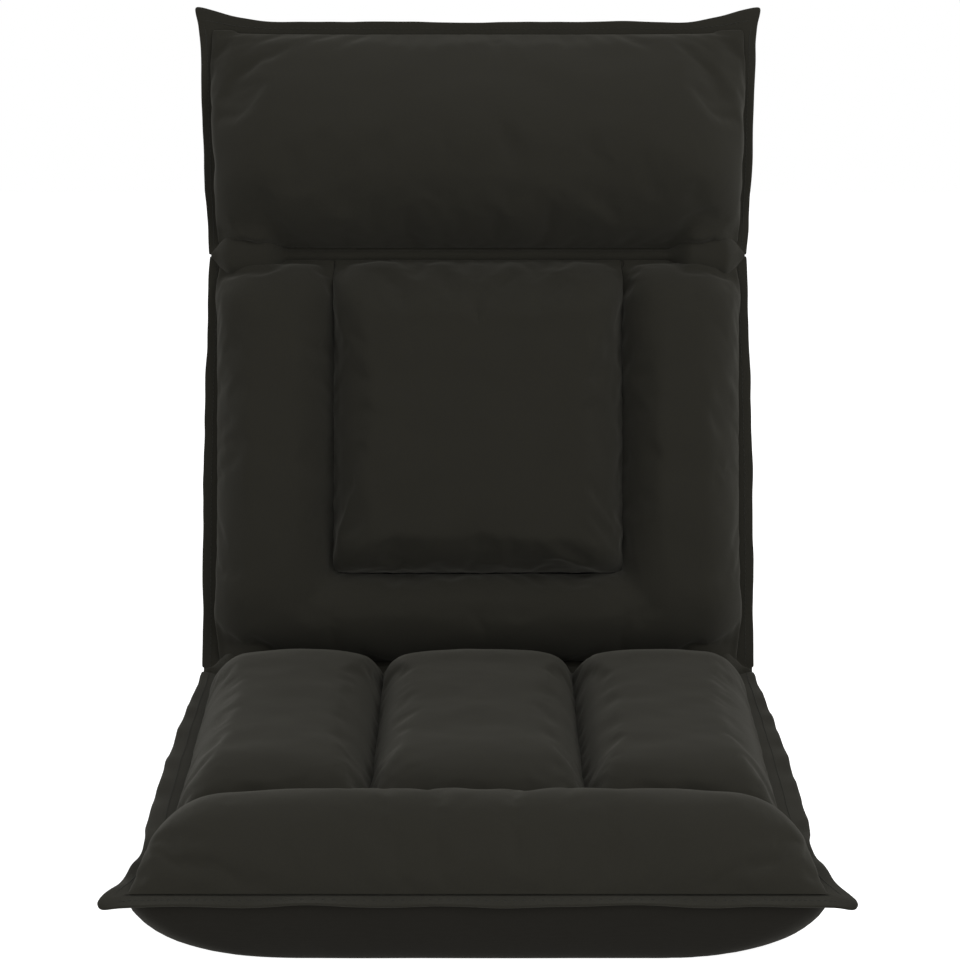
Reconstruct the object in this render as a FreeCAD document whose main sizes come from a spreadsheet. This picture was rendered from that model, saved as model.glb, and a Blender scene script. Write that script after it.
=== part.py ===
"""A folding floor chair: seat, back and headrest on steel tube frames, joined by ratchet hinges.

Frame: origin on the floor under the middle of the seat, +X to the sitter's left as seen from the
front, +Y from the front to the back, +Z up. Millimetres.

Each section is drawn as the chair lies flat, with its sewn flange in the hinge plane. The back and
the headrest are then folded up about the recline axis by their placement.
"""

import FreeCAD, Part
import math
import os

import Sketcher
from FreeCAD import Placement, Rotation, Vector

SIZES = [
    ("flange_span", 520, "width across the flanges at the fold"),
    ("seat_length", 500, "recline axis to the front flange"),
    ("back_length", 393, "recline axis to headrest axis"),
    ("head_length", 221, "headrest axis to the top flange"),
    ("hinge_height", 52, "floor to the hinge plane"),
    ("rest_angle", 105, "between seat and back as photographed"),
    ("flange_width", 13, "flange outside the pads"),
    ("flange_thick", 1.6, "two layers of cover, stitched"),
    ("ear_side", 18, "how far a front ear stands out sideways"),
    ("ear_top", 14, "how far a top ear stands up"),
    ("cover_wall", 1.5, "lower cover with its lining"),
    ("lift_off", 1, "rear covers above the floor when flat"),
    ("base_foam", 26, "foam in the lower cover"),
    ("slab_thick", 21, "foam slab over the webbing"),
    ("slab_half", 212, "half the slab's width"),
    ("seat_crown", 48, "seat channel above the hinge plane"),
    ("seam_share", 0.68, "share of the crown left at the roll's seam"),
    ("channel_rise", 60, "length over which the channels rise from the roll's seam"),
    ("seat_soft", 100, "length over which the channels rise from the fold"),
    ("roll_crown", 55, "front roll above the hinge plane"),
    ("roll_depth", 120, "front flange to the roll's rear seam"),
    ("channel_half", 87, "half the middle channel's width"),
    ("waist_in", 13, "how far the pads draw in at the roll's seam"),
    ("roll_flare", 13, "how far the roll's front corners stand out"),
    ("roll_front_rise", 52, "length over which the roll rises from the flange"),
    ("roll_rear_rise", 40, "length over which the roll rises from its seam"),
    ("back_crown", 50, "surround pad above the hinge plane"),
    ("back_soft", 80, "length over which the back pads rise from the fold"),
    ("neck_soft", 45, "length over which the surround rises from the neck"),
    ("center_neck_soft", 42, "length over which the center pad rises from the neck"),
    ("center_rise", 24, "length over which the center pad rises from its lower edge"),
    ("center_share", 0.7, "share of its crown at the center pad's lower edge"),
    ("center_crown", 56, "center pad above the hinge plane"),
    ("center_half", 136, "half the center pad's width"),
    ("center_start", 95, "recline axis to the center pad"),
    ("pillow_crown", 75, "headrest pillow above the hinge plane"),
    ("pillow_soft", 70, "length over which the pillow rises from the neck"),
    ("seam_gap", 0.6, "between neighbouring pads"),
    ("fit", 0.3, "soft piece to its neighbour"),
    ("tube_od", 19, "frame tube"),
    ("tube_wall", 1.2, "frame tube wall"),
    ("bar_od", 16, "cross bar"),
    ("bend_radius", 60, "frame tube's corners"),
    ("hinge_x", 215, "middle of the seat to a hinge"),
    ("frame_inset", 40, "front flange to the frame tube's centre"),
    ("strap_width", 50, "webbing strap of the seat"),
    ("back_strap_width", 32, "webbing strap of the back"),
    ("strap_thick", 1.2, "webbing strap"),
    ("socket_reach", 48, "hinge axis to an arm's socket"),
    ("socket_length", 32, "depth of the tube in its socket"),
    ("socket_wall", 1.4, "socket's wall round the tube"),
    ("socket_end", 3, "socket's closed end"),
    ("tube_fit", 0.1, "tube in its socket"),
    ("slab_clear", 0.3, "sockets and straps to the foam slab"),
    (
        "tube_height",
        "=hinge_height + flange_thick / 2 - slab_clear - socket_wall - tube_fit - tube_od / 2",
        "tube centre above the floor",
    ),
    ("ratchet_thick", 3.8, "ratchet disc"),
    ("layer_slack", 0.4, "ratchet and tongue to the cheeks"),
    ("tongue_thick", "=ratchet_thick", "tongue arm's plate"),
    ("cheek_gap", "=ratchet_thick + layer_slack", "hinge's middle plane to a cheek"),
    ("cheek_thick", 2, "fork cheek"),
    ("tongue_radius", 14, "tongue arm's round end"),
    ("pin_radius", 4, "hinge pin"),
    ("pin_fit", 0.05, "pin in its hole"),
    ("head_radius", 7, "hinge pin's head"),
    ("head_thick", 2, "hinge pin's head"),
    ("teeth", 48, "teeth round a ratchet"),
    ("tip_radius", 16.5, "ratchet over its teeth"),
    ("tooth_depth", 1.8, "ratchet's teeth"),
    ("root_radius", "=tip_radius - tooth_depth", "ratchet between its teeth"),
    ("boss_margin", 3, "fork's round boss outside the teeth"),
    ("boss_radius", "=tip_radius + boss_margin", "fork's round boss"),
    ("stud_radius", 2, "stud that keys the ratchet to its arm"),
    ("stud_circle", 9, "studs from the hinge axis"),
    ("stud_tall", 2.2, "stud above the tongue"),
    ("pawl_reach", 17.7, "pawl's pivot to its tooth"),
    ("pawl_angle", 246, "where the tooth meets the ratchet"),
    ("pawl_thick", "=ratchet_thick - 0.5", "pawl, thinner than the disc that it locks"),
    ("pawl_hub", 4.5, "pawl round its pivot"),
    ("pawl_pin", 2.5, "pawl's pivot pin"),
    ("pawl_slack", 0.3, "pawl to what turns beside it"),
    ("tooth_slack", 0.12, "pawl's tooth to the flanks of its gap"),
    ("nose_depth", 3.2, "pawl's nose below its tooth"),
    ("leaf_thick", 0.7, "pawl's leaf spring"),
    ("leaf_slack", 0.9, "pawl's nose to its leaf spring"),
    ("leaf_root_rise", 1.5, "leaf spring's fixed end above its tip"),
    ("leaf_bow", 2.2, "leaf spring's middle above its tip"),
    ("rivet_radius", 2.5, "rivet through socket and tube"),
    ("rivet_head", 4, "rivet head's radius"),
    ("rivet_crown", 1.2, "rivet head's thickness"),
    ("rivet_pitch", 15, "between a socket's rivets"),
    ("pocket_clear", 2.5, "pad and cover to the hinge"),
    ("web_reach", 6.5, "fold line's web on each side of its axis"),
    ("fold_gap", 4, "fold axis to the nearest cover or flange"),
    ("neck_gap", 1, "neck axis to the nearest flange"),
    ("tub_bulge", 16, "a lower cover's floor inside its rim"),
    ("tub_corner", 110, "round corners of a lower cover's floor"),
    ("rim_corner", 26, "round corners of a lower cover's rim"),
]

doc = FreeCAD.newDocument("folding_floor_chair")
sheet = doc.addObject("Spreadsheet::Sheet", "Sizes")
for row, (alias, value, meaning) in enumerate(SIZES, 1):
    sheet.set(f"A{row}", meaning)
    sheet.set(f"B{row}", str(value))
    sheet.setAlias(f"B{row}", alias)
doc.recompute()


def size(alias):
    return float(getattr(sheet, alias))


SIDES = {"left": -1, "right": 1}
HALF = size("flange_span") / 2 - size("flange_width")
PLANE = size("hinge_height")
TUBE_Z = size("tube_height")
FRONT = -size("seat_length") / 2
FOLD = size("seat_length") / 2
NECK = FOLD + size("back_length")
TOP = NECK + size("head_length")
FLANGE_TOP = PLANE + size("flange_thick") / 2
FLANGE_LOW = PLANE - size("flange_thick") / 2
PAD_FLOOR = FLANGE_TOP + size("fit")
SLAB_TOP = FLANGE_TOP + size("slab_thick")

SEAT = Placement()
BACK = Placement(
    Vector(0, 0, 0),
    Rotation(Vector(1, 0, 0), 180 - size("rest_angle")),
    Vector(0, FOLD, PLANE),
)

kept = []


def keep(item, label, place):
    """Name a sub-part and stand it in its section's place."""
    item.Label = label
    item.Placement = place
    kept.append(item)
    return item


def shaped(label, shape, place):
    """A sewn or foam piece, whose form is a loft."""
    item = doc.addObject("Part::Feature", label)
    item.Shape = shape
    return keep(item, label, place)


# Sketched bodies


def new_body(label, place):
    return keep(doc.addObject("PartDesign::Body", label), label, place)


def new_sketch(body, name, role, offset):
    """A sketch on one of the body's own planes, moved along the plane's normal."""
    sketch = body.newObject("Sketcher::SketchObject", f"{body.Name}_{name}")
    planes = {p.Role: p for p in body.Origin.OriginFeatures}
    sketch.AttachmentSupport = (planes[role], [""])
    sketch.MapMode = "FlatFace"
    sketch.setExpression(".AttachmentOffset.Base.z", offset)
    return sketch


def circle(sketch, across, up, radius):
    """A circle whose centre and radius are bound to the sheet."""
    centre = Vector(value_of(across), value_of(up), 0)
    number = sketch.addGeometry(Part.Circle(centre, Vector(0, 0, 1), value_of(radius)))
    rules = [
        (Sketcher.Constraint("DistanceX", -1, 1, number, 3, centre.x), across),
        (Sketcher.Constraint("DistanceY", -1, 1, number, 3, centre.y), up),
        (Sketcher.Constraint("Radius", number, value_of(radius)), radius),
    ]
    for rule, expression in rules:
        index = sketch.addConstraint(rule)
        sketch.setExpression(f"Constraints[{index}]", expression)


def value_of(expression):
    return float(sheet.evalExpression(expression))


def draw(sketch, edges):
    for edge in edges:
        sketch.addGeometry(edge)


def flat(points):
    return [Vector(across, up, 0) for across, up in points]


def line(start, end):
    return Part.LineSegment(start, end)


def pad(body, sketch, length, flip=False):
    doc.recompute()
    feature = body.newObject("PartDesign::Pad", f"{sketch.Name}_pad")
    feature.Profile = sketch
    feature.Reversed = flip
    feature.setExpression("Length", length)
    doc.recompute()
    return feature


def pocket(body, sketch, length, flip=False):
    """Cut the sketch out, and check that it did cut."""
    before = body.Shape.Volume
    feature = body.newObject("PartDesign::Pocket", f"{sketch.Name}_pocket")
    feature.Profile = sketch
    feature.Reversed = flip
    feature.setExpression("Length", length)
    doc.recompute()
    if body.Shape.Volume > before - 0.1:
        raise ValueError(f"{sketch.Name} cuts nothing")
    return feature


# Tubes, bars and webbing


def bent_tube(label, end_y, far_y, place):
    """A U of tube in the frame's plane, open towards its hinges."""
    body = new_body(label, place)
    side, bend = size("hinge_x"), size("bend_radius")
    turn = math.copysign(bend, end_y - far_y)
    inner = bend * (1 - math.cos(math.pi / 4))
    route = new_sketch(body, "route", "XY_Plane", "Sizes.tube_height")
    ends = flat([(side, end_y), (side, far_y + turn), (side - bend, far_y)])
    mirrored = [Vector(-p.x, p.y, 0) for p in reversed(ends)]
    middle = Vector(side - inner, far_y + turn * inner / bend, 0)
    draw(
        route,
        [
            line(ends[0], ends[1]),
            Part.Arc(ends[1], middle, ends[2]),
            line(ends[2], mirrored[0]),
            Part.Arc(mirrored[0], Vector(-middle.x, middle.y, 0), mirrored[1]),
            line(mirrored[1], mirrored[2]),
        ],
    )
    section = new_sketch(body, "section", "XZ_Plane", f"{-end_y}")
    centre_z = "Sizes.tube_height"
    circle(section, "Sizes.hinge_x", centre_z, "Sizes.tube_od / 2")
    circle(section, "Sizes.hinge_x", centre_z, "Sizes.tube_od / 2 - Sizes.tube_wall")
    doc.recompute()
    pipe = body.newObject("PartDesign::AdditivePipe", f"{label}_pipe")
    pipe.Profile = section
    pipe.Spine = route
    doc.recompute()
    drill_tube(body, end_y, math.copysign(1, far_y - end_y))
    return body


def drill_tube(body, end_y, away):
    """Rivet holes across a tube near its end."""
    holes = new_sketch(body, "holes", "YZ_Plane", "Sizes.flange_span / 2")
    for number in range(2):
        place = end_y + away * rivet_setback(number)
        circle(holes, f"{place}", "Sizes.tube_height", "Sizes.rivet_radius + Sizes.pin_fit")
    pocket(body, holes, "Sizes.flange_span")


def rivet_setback(number):
    """From a tube's end to one of its socket's two rivets."""
    spare = size("socket_length") - size("rivet_pitch")
    return spare / 2 + number * size("rivet_pitch")


def side_rail(label, side, start, end, place):
    """A straight side tube of the back, riveted into a socket at each end."""
    body = new_body(label, place)
    section = new_sketch(body, "section", "XZ_Plane", f"{-start}")
    across, up = f"{side} * Sizes.hinge_x", "Sizes.tube_height"
    circle(section, across, up, "Sizes.tube_od / 2")
    circle(section, across, up, "Sizes.tube_od / 2 - Sizes.tube_wall")
    pad(body, section, f"{end - start}", flip=True)
    holes = new_sketch(body, "holes", "YZ_Plane", "Sizes.flange_span / 2")
    for tube_end, away in ((start, 1), (end, -1)):
        for number in range(2):
            place_y = tube_end + away * rivet_setback(number)
            circle(holes, f"{place_y}", up, "Sizes.rivet_radius + Sizes.pin_fit")
    pocket(body, holes, "Sizes.flange_span")
    return body


def rod(radius, length, start, axis):
    """A cylinder object from a start point along X or Y, its sizes bound to the sheet."""
    item = doc.addObject("Part::Cylinder", "rod")
    item.setExpression("Radius", radius)
    item.setExpression("Height", length)
    turn = Rotation(Vector(0, 1, 0), 90) if axis == "x" else Rotation(Vector(1, 0, 0), -90)
    item.Placement = Placement(start, turn)
    return item


def cut(base, tool):
    item = doc.addObject("Part::Cut", "cut")
    item.Base = base
    item.Tool = tool
    return item


def fuse(members):
    item = doc.addObject("Part::MultiFuse", "joined")
    item.Shapes = members
    return item


def group(label, members, place):
    item = doc.addObject("Part::Compound", label)
    item.Links = members
    return keep(item, label, place)


def bar_setback():
    """From a side tube's end to its cross bar, clear of the socket."""
    return size("socket_length") + size("bar_od")


def cross_bar(label, bar_y, place):
    """A bar between the side tubes, its ends coped to fit round them."""
    start = Vector(-size("hinge_x"), bar_y, TUBE_Z)
    reach = "2 * Sizes.hinge_x"
    hollow = cut(
        rod("Sizes.bar_od / 2", reach, start, "x"),
        rod("Sizes.bar_od / 2 - Sizes.tube_wall", reach, start, "x"),
    )
    coping = [
        rod(
            "Sizes.tube_od / 2 + Sizes.tube_fit",
            "2 * Sizes.bar_od",
            Vector(side * size("hinge_x"), bar_y - size("bar_od"), TUBE_Z),
            "y",
        )
        for side in SIDES.values()
    ]
    return keep(cut(hollow, fuse(coping)), label, place)


def webbing(label, start, end, count, width, place):
    """Straps across the frame, each looped round both side tubes."""
    pitch = (end - start - value_of(width)) / (count - 1)
    inner = "Sizes.tube_od / 2 + Sizes.tube_fit"
    straps = []
    for number in range(count):
        strap_y = start + number * pitch
        loops = []
        for side in SIDES.values():
            at = Vector(side * size("hinge_x"), strap_y, TUBE_Z)
            outer = rod(f"{inner} + Sizes.strap_thick", width, at, "y")
            loops.append(cut(outer, rod(inner, width, at, "y")))
        band = doc.addObject("Part::Box", "band")
        band.setExpression("Length", "2 * Sizes.hinge_x")
        band.setExpression("Width", width)
        band.setExpression("Height", "Sizes.strap_thick")
        rise = size("tube_od") / 2 + size("tube_fit")
        band.Placement = Placement(Vector(-size("hinge_x"), strap_y, TUBE_Z + rise), Rotation())
        straps.append(fuse([band, *loops]))
    return group(label, straps, place)


# Ratchet hinges
#
# A fork arm, before its axis, carries the pins and the pawl. A tongue arm, beyond the axis, carries
# the toothed disc. Profiles are drawn in the plane across the axis, as (Y, Z).


def socket_ends(axis_y, toward):
    """The upper and lower corner where an arm's plate meets its socket."""
    reach = axis_y + toward * size("socket_reach")
    half = size("tube_od") / 2 + size("tube_fit") + size("socket_wall")
    return (reach, TUBE_Z + half), (reach, TUBE_Z - half)


def touch(centre, radius, corner, turn):
    """Where a line from the corner touches a circle."""
    across, up = corner[0] - centre[0], corner[1] - centre[1]
    angle = math.atan2(up, across) + turn * math.acos(radius / math.hypot(across, up))
    return angle, polar(centre, radius, angle)


def polar(centre, radius, angle):
    return centre[0] + radius * math.cos(angle), centre[1] + radius * math.sin(angle)


def arm_outline(axis_y, toward, radius, clear=0.0):
    """A round boss on the axis, drawn in by straight edges to the socket."""
    centre = (axis_y, PLANE)
    high, low = socket_ends(axis_y, toward)
    high, low = (high[0], high[1] + clear), (low[0], low[1] - clear)
    first, top = touch(centre, radius + clear, high, toward)
    last, under = touch(centre, radius + clear, low, -toward)
    far = math.pi if toward > 0 else 0.0
    nose = polar(centre, radius + clear, far)
    ahead, behind = (polar(centre, radius + clear, middle_angle(a, far)) for a in (first, last))
    top, under, nose, ahead, behind, high, low = flat([top, under, nose, ahead, behind, high, low])
    return [
        line(high, top),
        Part.Arc(top, ahead, nose),
        Part.Arc(nose, behind, under),
        line(under, low),
        line(low, high),
    ]


def middle_angle(one, other):
    """Half way between two angles, the short way round."""
    apart = (other - one + math.pi) % (2 * math.pi) - math.pi
    return one + apart / 2


def arm_plate(body, name, axis_y, toward, radius, inner_x, thick):
    sketch = new_sketch(body, name, "YZ_Plane", inner_x)
    draw(sketch, arm_outline(axis_y, toward, radius))
    pad(body, sketch, thick)


def arm_socket(body, side, axis_y, toward):
    """The blind tube socket, with its rivet holes. It is the arm's first feature."""
    across, up = f"{side} * Sizes.hinge_x", "Sizes.tube_height"
    mouth = axis_y + toward * size("socket_reach")
    outside = new_sketch(body, "socket", "XZ_Plane", f"{-mouth}")
    circle(outside, across, up, "Sizes.tube_od / 2 + Sizes.tube_fit + Sizes.socket_wall")
    pad(body, outside, "Sizes.socket_end + Sizes.socket_length", flip=toward > 0)
    depth = mouth + toward * size("socket_end")
    inside = new_sketch(body, "bore", "XZ_Plane", f"{-depth}")
    circle(inside, across, up, "Sizes.tube_od / 2 + Sizes.tube_fit")
    pocket(body, inside, "Sizes.socket_length", flip=toward < 0)


def arm_rivet_holes(body, side, axis_y, toward):
    holes = new_sketch(body, "rivets", "YZ_Plane", "Sizes.flange_span / 2")
    for place_y in rivet_places(axis_y, toward):
        circle(holes, f"{place_y}", "Sizes.tube_height", "Sizes.rivet_radius + Sizes.pin_fit")
    pocket(body, holes, "Sizes.flange_span")


def tube_end(axis_y, toward):
    """Where a tube stops in its socket."""
    return axis_y + toward * (size("socket_reach") + size("socket_end") + size("tube_fit"))


def rivet_places(axis_y, toward):
    return [tube_end(axis_y, toward) + toward * rivet_setback(number) for number in range(2)]


def fork_arm(label, side, axis_y, place):
    """Two cheeks on a socket before the axis, bored for the hinge pin and the pawl's pin."""
    body = new_body(label, place)
    arm_socket(body, side, axis_y, -1)
    for name, inner in (
        ("near", f"{side} * Sizes.hinge_x + Sizes.cheek_gap"),
        ("away", f"{side} * Sizes.hinge_x - Sizes.cheek_gap - Sizes.cheek_thick"),
    ):
        arm_plate(body, name, axis_y, -1, size("boss_radius"), inner, "Sizes.cheek_thick")
    bores = new_sketch(body, "bores", "YZ_Plane", "Sizes.flange_span / 2")
    pivot = pawl_pivot(axis_y)
    circle(bores, f"{axis_y}", "Sizes.hinge_height", "Sizes.pin_radius + Sizes.pin_fit")
    circle(bores, f"{pivot[0]}", f"{pivot[1]}", "Sizes.pawl_pin + Sizes.pin_fit")
    pocket(body, bores, "Sizes.flange_span")
    arm_rivet_holes(body, side, axis_y, -1)
    return body


def tongue_arm(label, side, axis_y, place):
    """One plate on a socket beyond the axis, with three studs that key the ratchet."""
    body = new_body(label, place)
    arm_socket(body, side, axis_y, 1)
    outward = side > 0
    middle = f"{side} * Sizes.hinge_x"
    inner = f"{middle} - Sizes.tongue_thick" if outward else middle
    arm_plate(body, "tongue", axis_y, 1, size("tongue_radius"), inner, "Sizes.tongue_thick")
    studs = new_sketch(body, "studs", "YZ_Plane", middle)
    for place_y, place_z in stud_places(axis_y):
        circle(studs, f"{place_y}", f"{place_z}", "Sizes.stud_radius")
    pad(body, studs, "Sizes.stud_tall", flip=not outward)
    bore = new_sketch(body, "bore_axis", "YZ_Plane", "Sizes.flange_span / 2")
    circle(bore, f"{axis_y}", "Sizes.hinge_height", "Sizes.pin_radius + Sizes.pin_fit")
    pocket(body, bore, "Sizes.flange_span")
    arm_rivet_holes(body, side, axis_y, 1)
    return body


def stud_places(axis_y):
    turn = 2 * math.pi / 3
    return [polar((axis_y, PLANE), size("stud_circle"), number * turn) for number in range(3)]


def tooth_gap(axis_y, clear=0.0):
    """The four corners of the gap between two teeth: a steep flank that locks and a sloped one."""
    centre, meets = (axis_y, PLANE), math.radians(size("pawl_angle"))
    pitch = 2 * math.pi / size("teeth")
    slim = clear / size("tip_radius")
    rim = size("tip_radius") + 0.5
    floor = size("root_radius") + 2 * clear
    return [
        polar(centre, rim, meets - 0.42 * pitch + slim),
        polar(centre, floor, meets - 0.05 * pitch + slim),
        polar(centre, floor, meets + 0.13 * pitch - slim),
        polar(centre, rim, meets + 0.22 * pitch - slim),
    ]


def closed(points):
    return [line(points[n - 1], points[n]) for n in range(len(points))]


def ratchet(label, side, axis_y, place):
    """The toothed disc: a plain disc, one gap cut at its edge, and that gap repeated all round."""
    body = new_body(label, place)
    outward = side > 0
    middle = f"{side} * Sizes.hinge_x"
    disc = new_sketch(body, "disc", "YZ_Plane", middle)
    circle(disc, f"{axis_y}", "Sizes.hinge_height", "Sizes.tip_radius")
    circle(disc, f"{axis_y}", "Sizes.hinge_height", "Sizes.pin_radius + Sizes.pin_fit")
    for place_y, place_z in stud_places(axis_y):
        circle(disc, f"{place_y}", f"{place_z}", "Sizes.stud_radius + Sizes.pin_fit")
    pad(body, disc, "Sizes.ratchet_thick", flip=not outward)
    gap = new_sketch(body, "gap", "YZ_Plane", middle)
    gap.AttachmentOffset = Placement(Vector(axis_y, PLANE, 0), Rotation())
    draw(gap, closed([Vector(y - axis_y, z - PLANE, 0) for y, z in tooth_gap(axis_y)]))
    gap_cut = pocket(body, gap, "Sizes.ratchet_thick", flip=outward)
    pattern = body.newObject("PartDesign::PolarPattern", f"{label}_teeth")
    pattern.Originals = [gap_cut]
    pattern.Axis = (gap, ["N_Axis"])
    pattern.Angle = 360
    pattern.setExpression("Occurrences", "Sizes.teeth")
    body.Tip = pattern
    doc.recompute()
    return body


def pawl_pivot(axis_y):
    """The pivot lies square to the tooth's radius, so that a locked tooth pushes straight at it."""
    angle = math.radians(size("pawl_angle"))
    meets = polar((axis_y, PLANE), size("root_radius"), angle)
    return polar(meets, size("pawl_reach"), angle - math.pi / 2)


# The pawl's outline in degrees: round its own pivot, then along the disc on each side of its tooth
HUB_TURNS = (20, 80, 140, 200, 262)
RELIEF_TURNS = (3.6, 20, 38)
NOSE_TOP_TURN = 8
NOSE_LOW_TURN = 4


def pawl(label, side, axis_y, place):
    """A strut with one tooth, relieved along the disc and rounded at its pivot."""
    body = new_body(label, place)
    centre, pivot = (axis_y, PLANE), pawl_pivot(axis_y)
    slack, hub, meets = size("pawl_slack"), size("pawl_hub"), math.radians(size("pawl_angle"))
    shoulder = size("tip_radius") + 2 * slack
    teeth = flat(tooth_gap(axis_y, size("tooth_slack")))
    rounding = flat([polar(pivot, hub, math.radians(turn)) for turn in HUB_TURNS])
    relief = flat([polar(centre, shoulder, meets - math.radians(turn)) for turn in RELIEF_TURNS])
    nose = flat(
        [
            polar(centre, shoulder + size("nose_depth"), meets + math.radians(NOSE_LOW_TURN)),
            polar(centre, shoulder, meets + math.radians(NOSE_TOP_TURN)),
        ]
    )
    beside = "+ Sizes.pawl_slack" if side > 0 else "- Sizes.pawl_slack - Sizes.pawl_thick"
    sketch = new_sketch(body, "profile", "YZ_Plane", f"{side} * Sizes.hinge_x {beside}")
    draw(
        sketch,
        [
            Part.Arc(*rounding[:3]),
            Part.Arc(*rounding[2:]),
            line(rounding[4], nose[0]),
            line(nose[0], nose[1]),
            line(nose[1], teeth[3]),
            line(teeth[3], teeth[2]),
            line(teeth[2], teeth[1]),
            line(teeth[1], teeth[0]),
            line(teeth[0], relief[0]),
            Part.Arc(*relief),
            line(relief[2], rounding[0]),
        ],
    )
    pad(body, sketch, "Sizes.pawl_thick")
    bore = new_sketch(body, "bore", "YZ_Plane", "Sizes.flange_span / 2")
    circle(bore, f"{pivot[0]}", f"{pivot[1]}", "Sizes.pawl_pin + Sizes.pin_fit")
    pocket(body, bore, "Sizes.flange_span")
    return body


def headed_pin(radius, grip, head, crown, place_y, place_z, side):
    """A pin across a hinge, with a head at each end."""
    half = value_of(grip) / 2
    thick = value_of(crown)
    middle = side * size("hinge_x")
    return fuse(
        [
            rod(radius, f"{grip}", Vector(middle - half, place_y, place_z), "x"),
            rod(head, crown, Vector(middle - half - thick, place_y, place_z), "x"),
            rod(head, crown, Vector(middle + half, place_y, place_z), "x"),
        ]
    )


def hinge_pins(label, axis_y, place):
    grip = "2 * Sizes.cheek_gap + 2 * Sizes.cheek_thick"
    pins = [
        headed_pin("Sizes.pin_radius", grip, "Sizes.head_radius", "Sizes.head_thick", axis_y, PLANE, side)
        for side in SIDES.values()
    ]
    return group(label, pins, place)


def pawl_pins(label, axis_y, place):
    grip = "2 * Sizes.cheek_gap + 2 * Sizes.cheek_thick"
    pivot = pawl_pivot(axis_y)
    pins = [
        headed_pin("Sizes.pawl_pin", grip, "Sizes.rivet_head", "Sizes.rivet_crown", *pivot, side)
        for side in SIDES.values()
    ]
    return group(label, pins, place)


def arm_rivets(label, arms, place):
    """Rivets through each socket and the tube in it."""
    grip = "Sizes.tube_od + 2 * Sizes.tube_fit + 2 * Sizes.socket_wall"
    rivets = [
        headed_pin("Sizes.rivet_radius", grip, "Sizes.rivet_head", "Sizes.rivet_crown", place_y, TUBE_Z, side)
        for axis_y, toward in arms
        for side in SIDES.values()
        for place_y in rivet_places(axis_y, toward)
    ]
    return group(label, rivets, place)


def pawl_springs(label, axis_y, place):
    """Leaf springs from the fork's socket to under each pawl's nose."""
    pivot, thick = pawl_pivot(axis_y), size("leaf_thick")
    root = axis_y - size("socket_reach")
    nose_radius = size("tip_radius") + 2 * size("pawl_slack") + size("nose_depth")
    nose = polar((axis_y, PLANE), nose_radius, math.radians(size("pawl_angle")))
    low = nose[1] - size("leaf_slack")
    leaves = []
    for side in SIDES.values():
        beside = size("pawl_slack") if side > 0 else -size("pawl_slack") - size("pawl_thick")
        inner = side * size("hinge_x") + beside
        middle = (pivot[0] - 2, low + size("leaf_bow"))
        upper = [(root, low + size("leaf_root_rise")), middle, (nose[0], low)]
        lower = [(y, z - thick) for y, z in upper]
        up = [Vector(inner, y, z) for y, z in upper]
        down = [Vector(inner, y, z) for y, z in lower]
        wire = Part.Wire(
            [
                Part.Arc(up[0], up[1], up[2]).toShape(),
                line(up[2], down[2]).toShape(),
                Part.Arc(down[2], down[1], down[0]).toShape(),
                line(down[0], up[0]).toShape(),
            ]
        )
        leaves.append(Part.Face(wire).extrude(Vector(size("pawl_thick"), 0, 0)))
    return shaped(label, Part.Compound(leaves), place)


def hinge_room(axis_y, toward):
    """The space that a cover or pad leaves round the hinges and one side's arms."""
    rooms = []
    clear = size("pocket_clear")
    half = size("cheek_gap") + size("cheek_thick") + size("head_thick") + clear
    for side in SIDES.values():
        edges = [edge.toShape() for edge in arm_outline(axis_y, toward, size("boss_radius"), clear)]
        face = Part.Face(Part.Wire(edges))
        rooms.append(stand_up(face, side * size("hinge_x") - half, 2 * half))
    return rooms


def stand_up(face, start_x, length):
    """A face drawn as (Y, Z), carried to the plane across X and drawn out along X."""
    turned = face.copy()
    turned.rotate(Vector(), Vector(1, 0, 0), 90)
    turned.rotate(Vector(), Vector(0, 0, 1), 90)
    turned.translate(Vector(start_x, 0, 0))
    return turned.extrude(Vector(length, 0, 0))


# Sewn covers, flanges and foam


def rounded_outline(half, low_y, high_y, radius, level):
    """A rectangle with round corners, lying flat."""
    radius = min(radius, 0.9 * half, 0.45 * (high_y - low_y))
    inner = radius * (1 - math.cos(math.pi / 4))
    edges = []
    corners = [(half, low_y), (half, high_y), (-half, high_y), (-half, low_y)]
    middle_y = (low_y + high_y) / 2
    points = []
    for across, along in corners:
        sx, sy = math.copysign(1, across), math.copysign(1, along - middle_y)
        on_side = Vector(across, along - sy * radius, level)
        bend = Vector(across - sx * inner, along - sy * inner, level)
        on_end = Vector(across - sx * radius, along, level)
        points.append((on_side, bend, on_end))
    for number, (on_side, bend, on_end) in enumerate(points):
        leads_out = number % 2 == 1
        first, last = (on_side, on_end) if leads_out else (on_end, on_side)
        edges.append(Part.Arc(first, bend, last).toShape())
        following = points[(number + 1) % 4]
        edges.append(line(last, following[0] if not leads_out else following[2]).toShape())
    return Part.Wire(edges)


TUB_STEPS = 5


def tub(low_y, high_y, low_z, inset, raise_floor):
    """A boat-shaped cover's outside: flat below, its sides drawn up and out to the flange."""
    wires = []
    for step in range(TUB_STEPS + 1):
        up = step / TUB_STEPS
        level = low_z + raise_floor + up**1.6 * (FLANGE_LOW - low_z - raise_floor)
        shrink = size("tub_bulge") * (1 - up) ** 2 + inset
        radius = size("rim_corner") + (size("tub_corner") - size("rim_corner")) * (1 - up)
        wires.append(rounded_outline(HALF - shrink, low_y + shrink, high_y - shrink, radius, level))
    return Part.makeLoft(wires, True, True)


def lower_cover(label, low_y, high_y, low_z, rooms, place):
    """A thin shell, open at the flange."""
    wall = size("cover_wall")
    outside = tub(low_y, high_y, low_z, 0, 0)
    inside = tub(low_y, high_y, low_z, wall, wall)
    shell = outside.cut([inside, *rooms])
    return shaped(label, shell, place)


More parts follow.
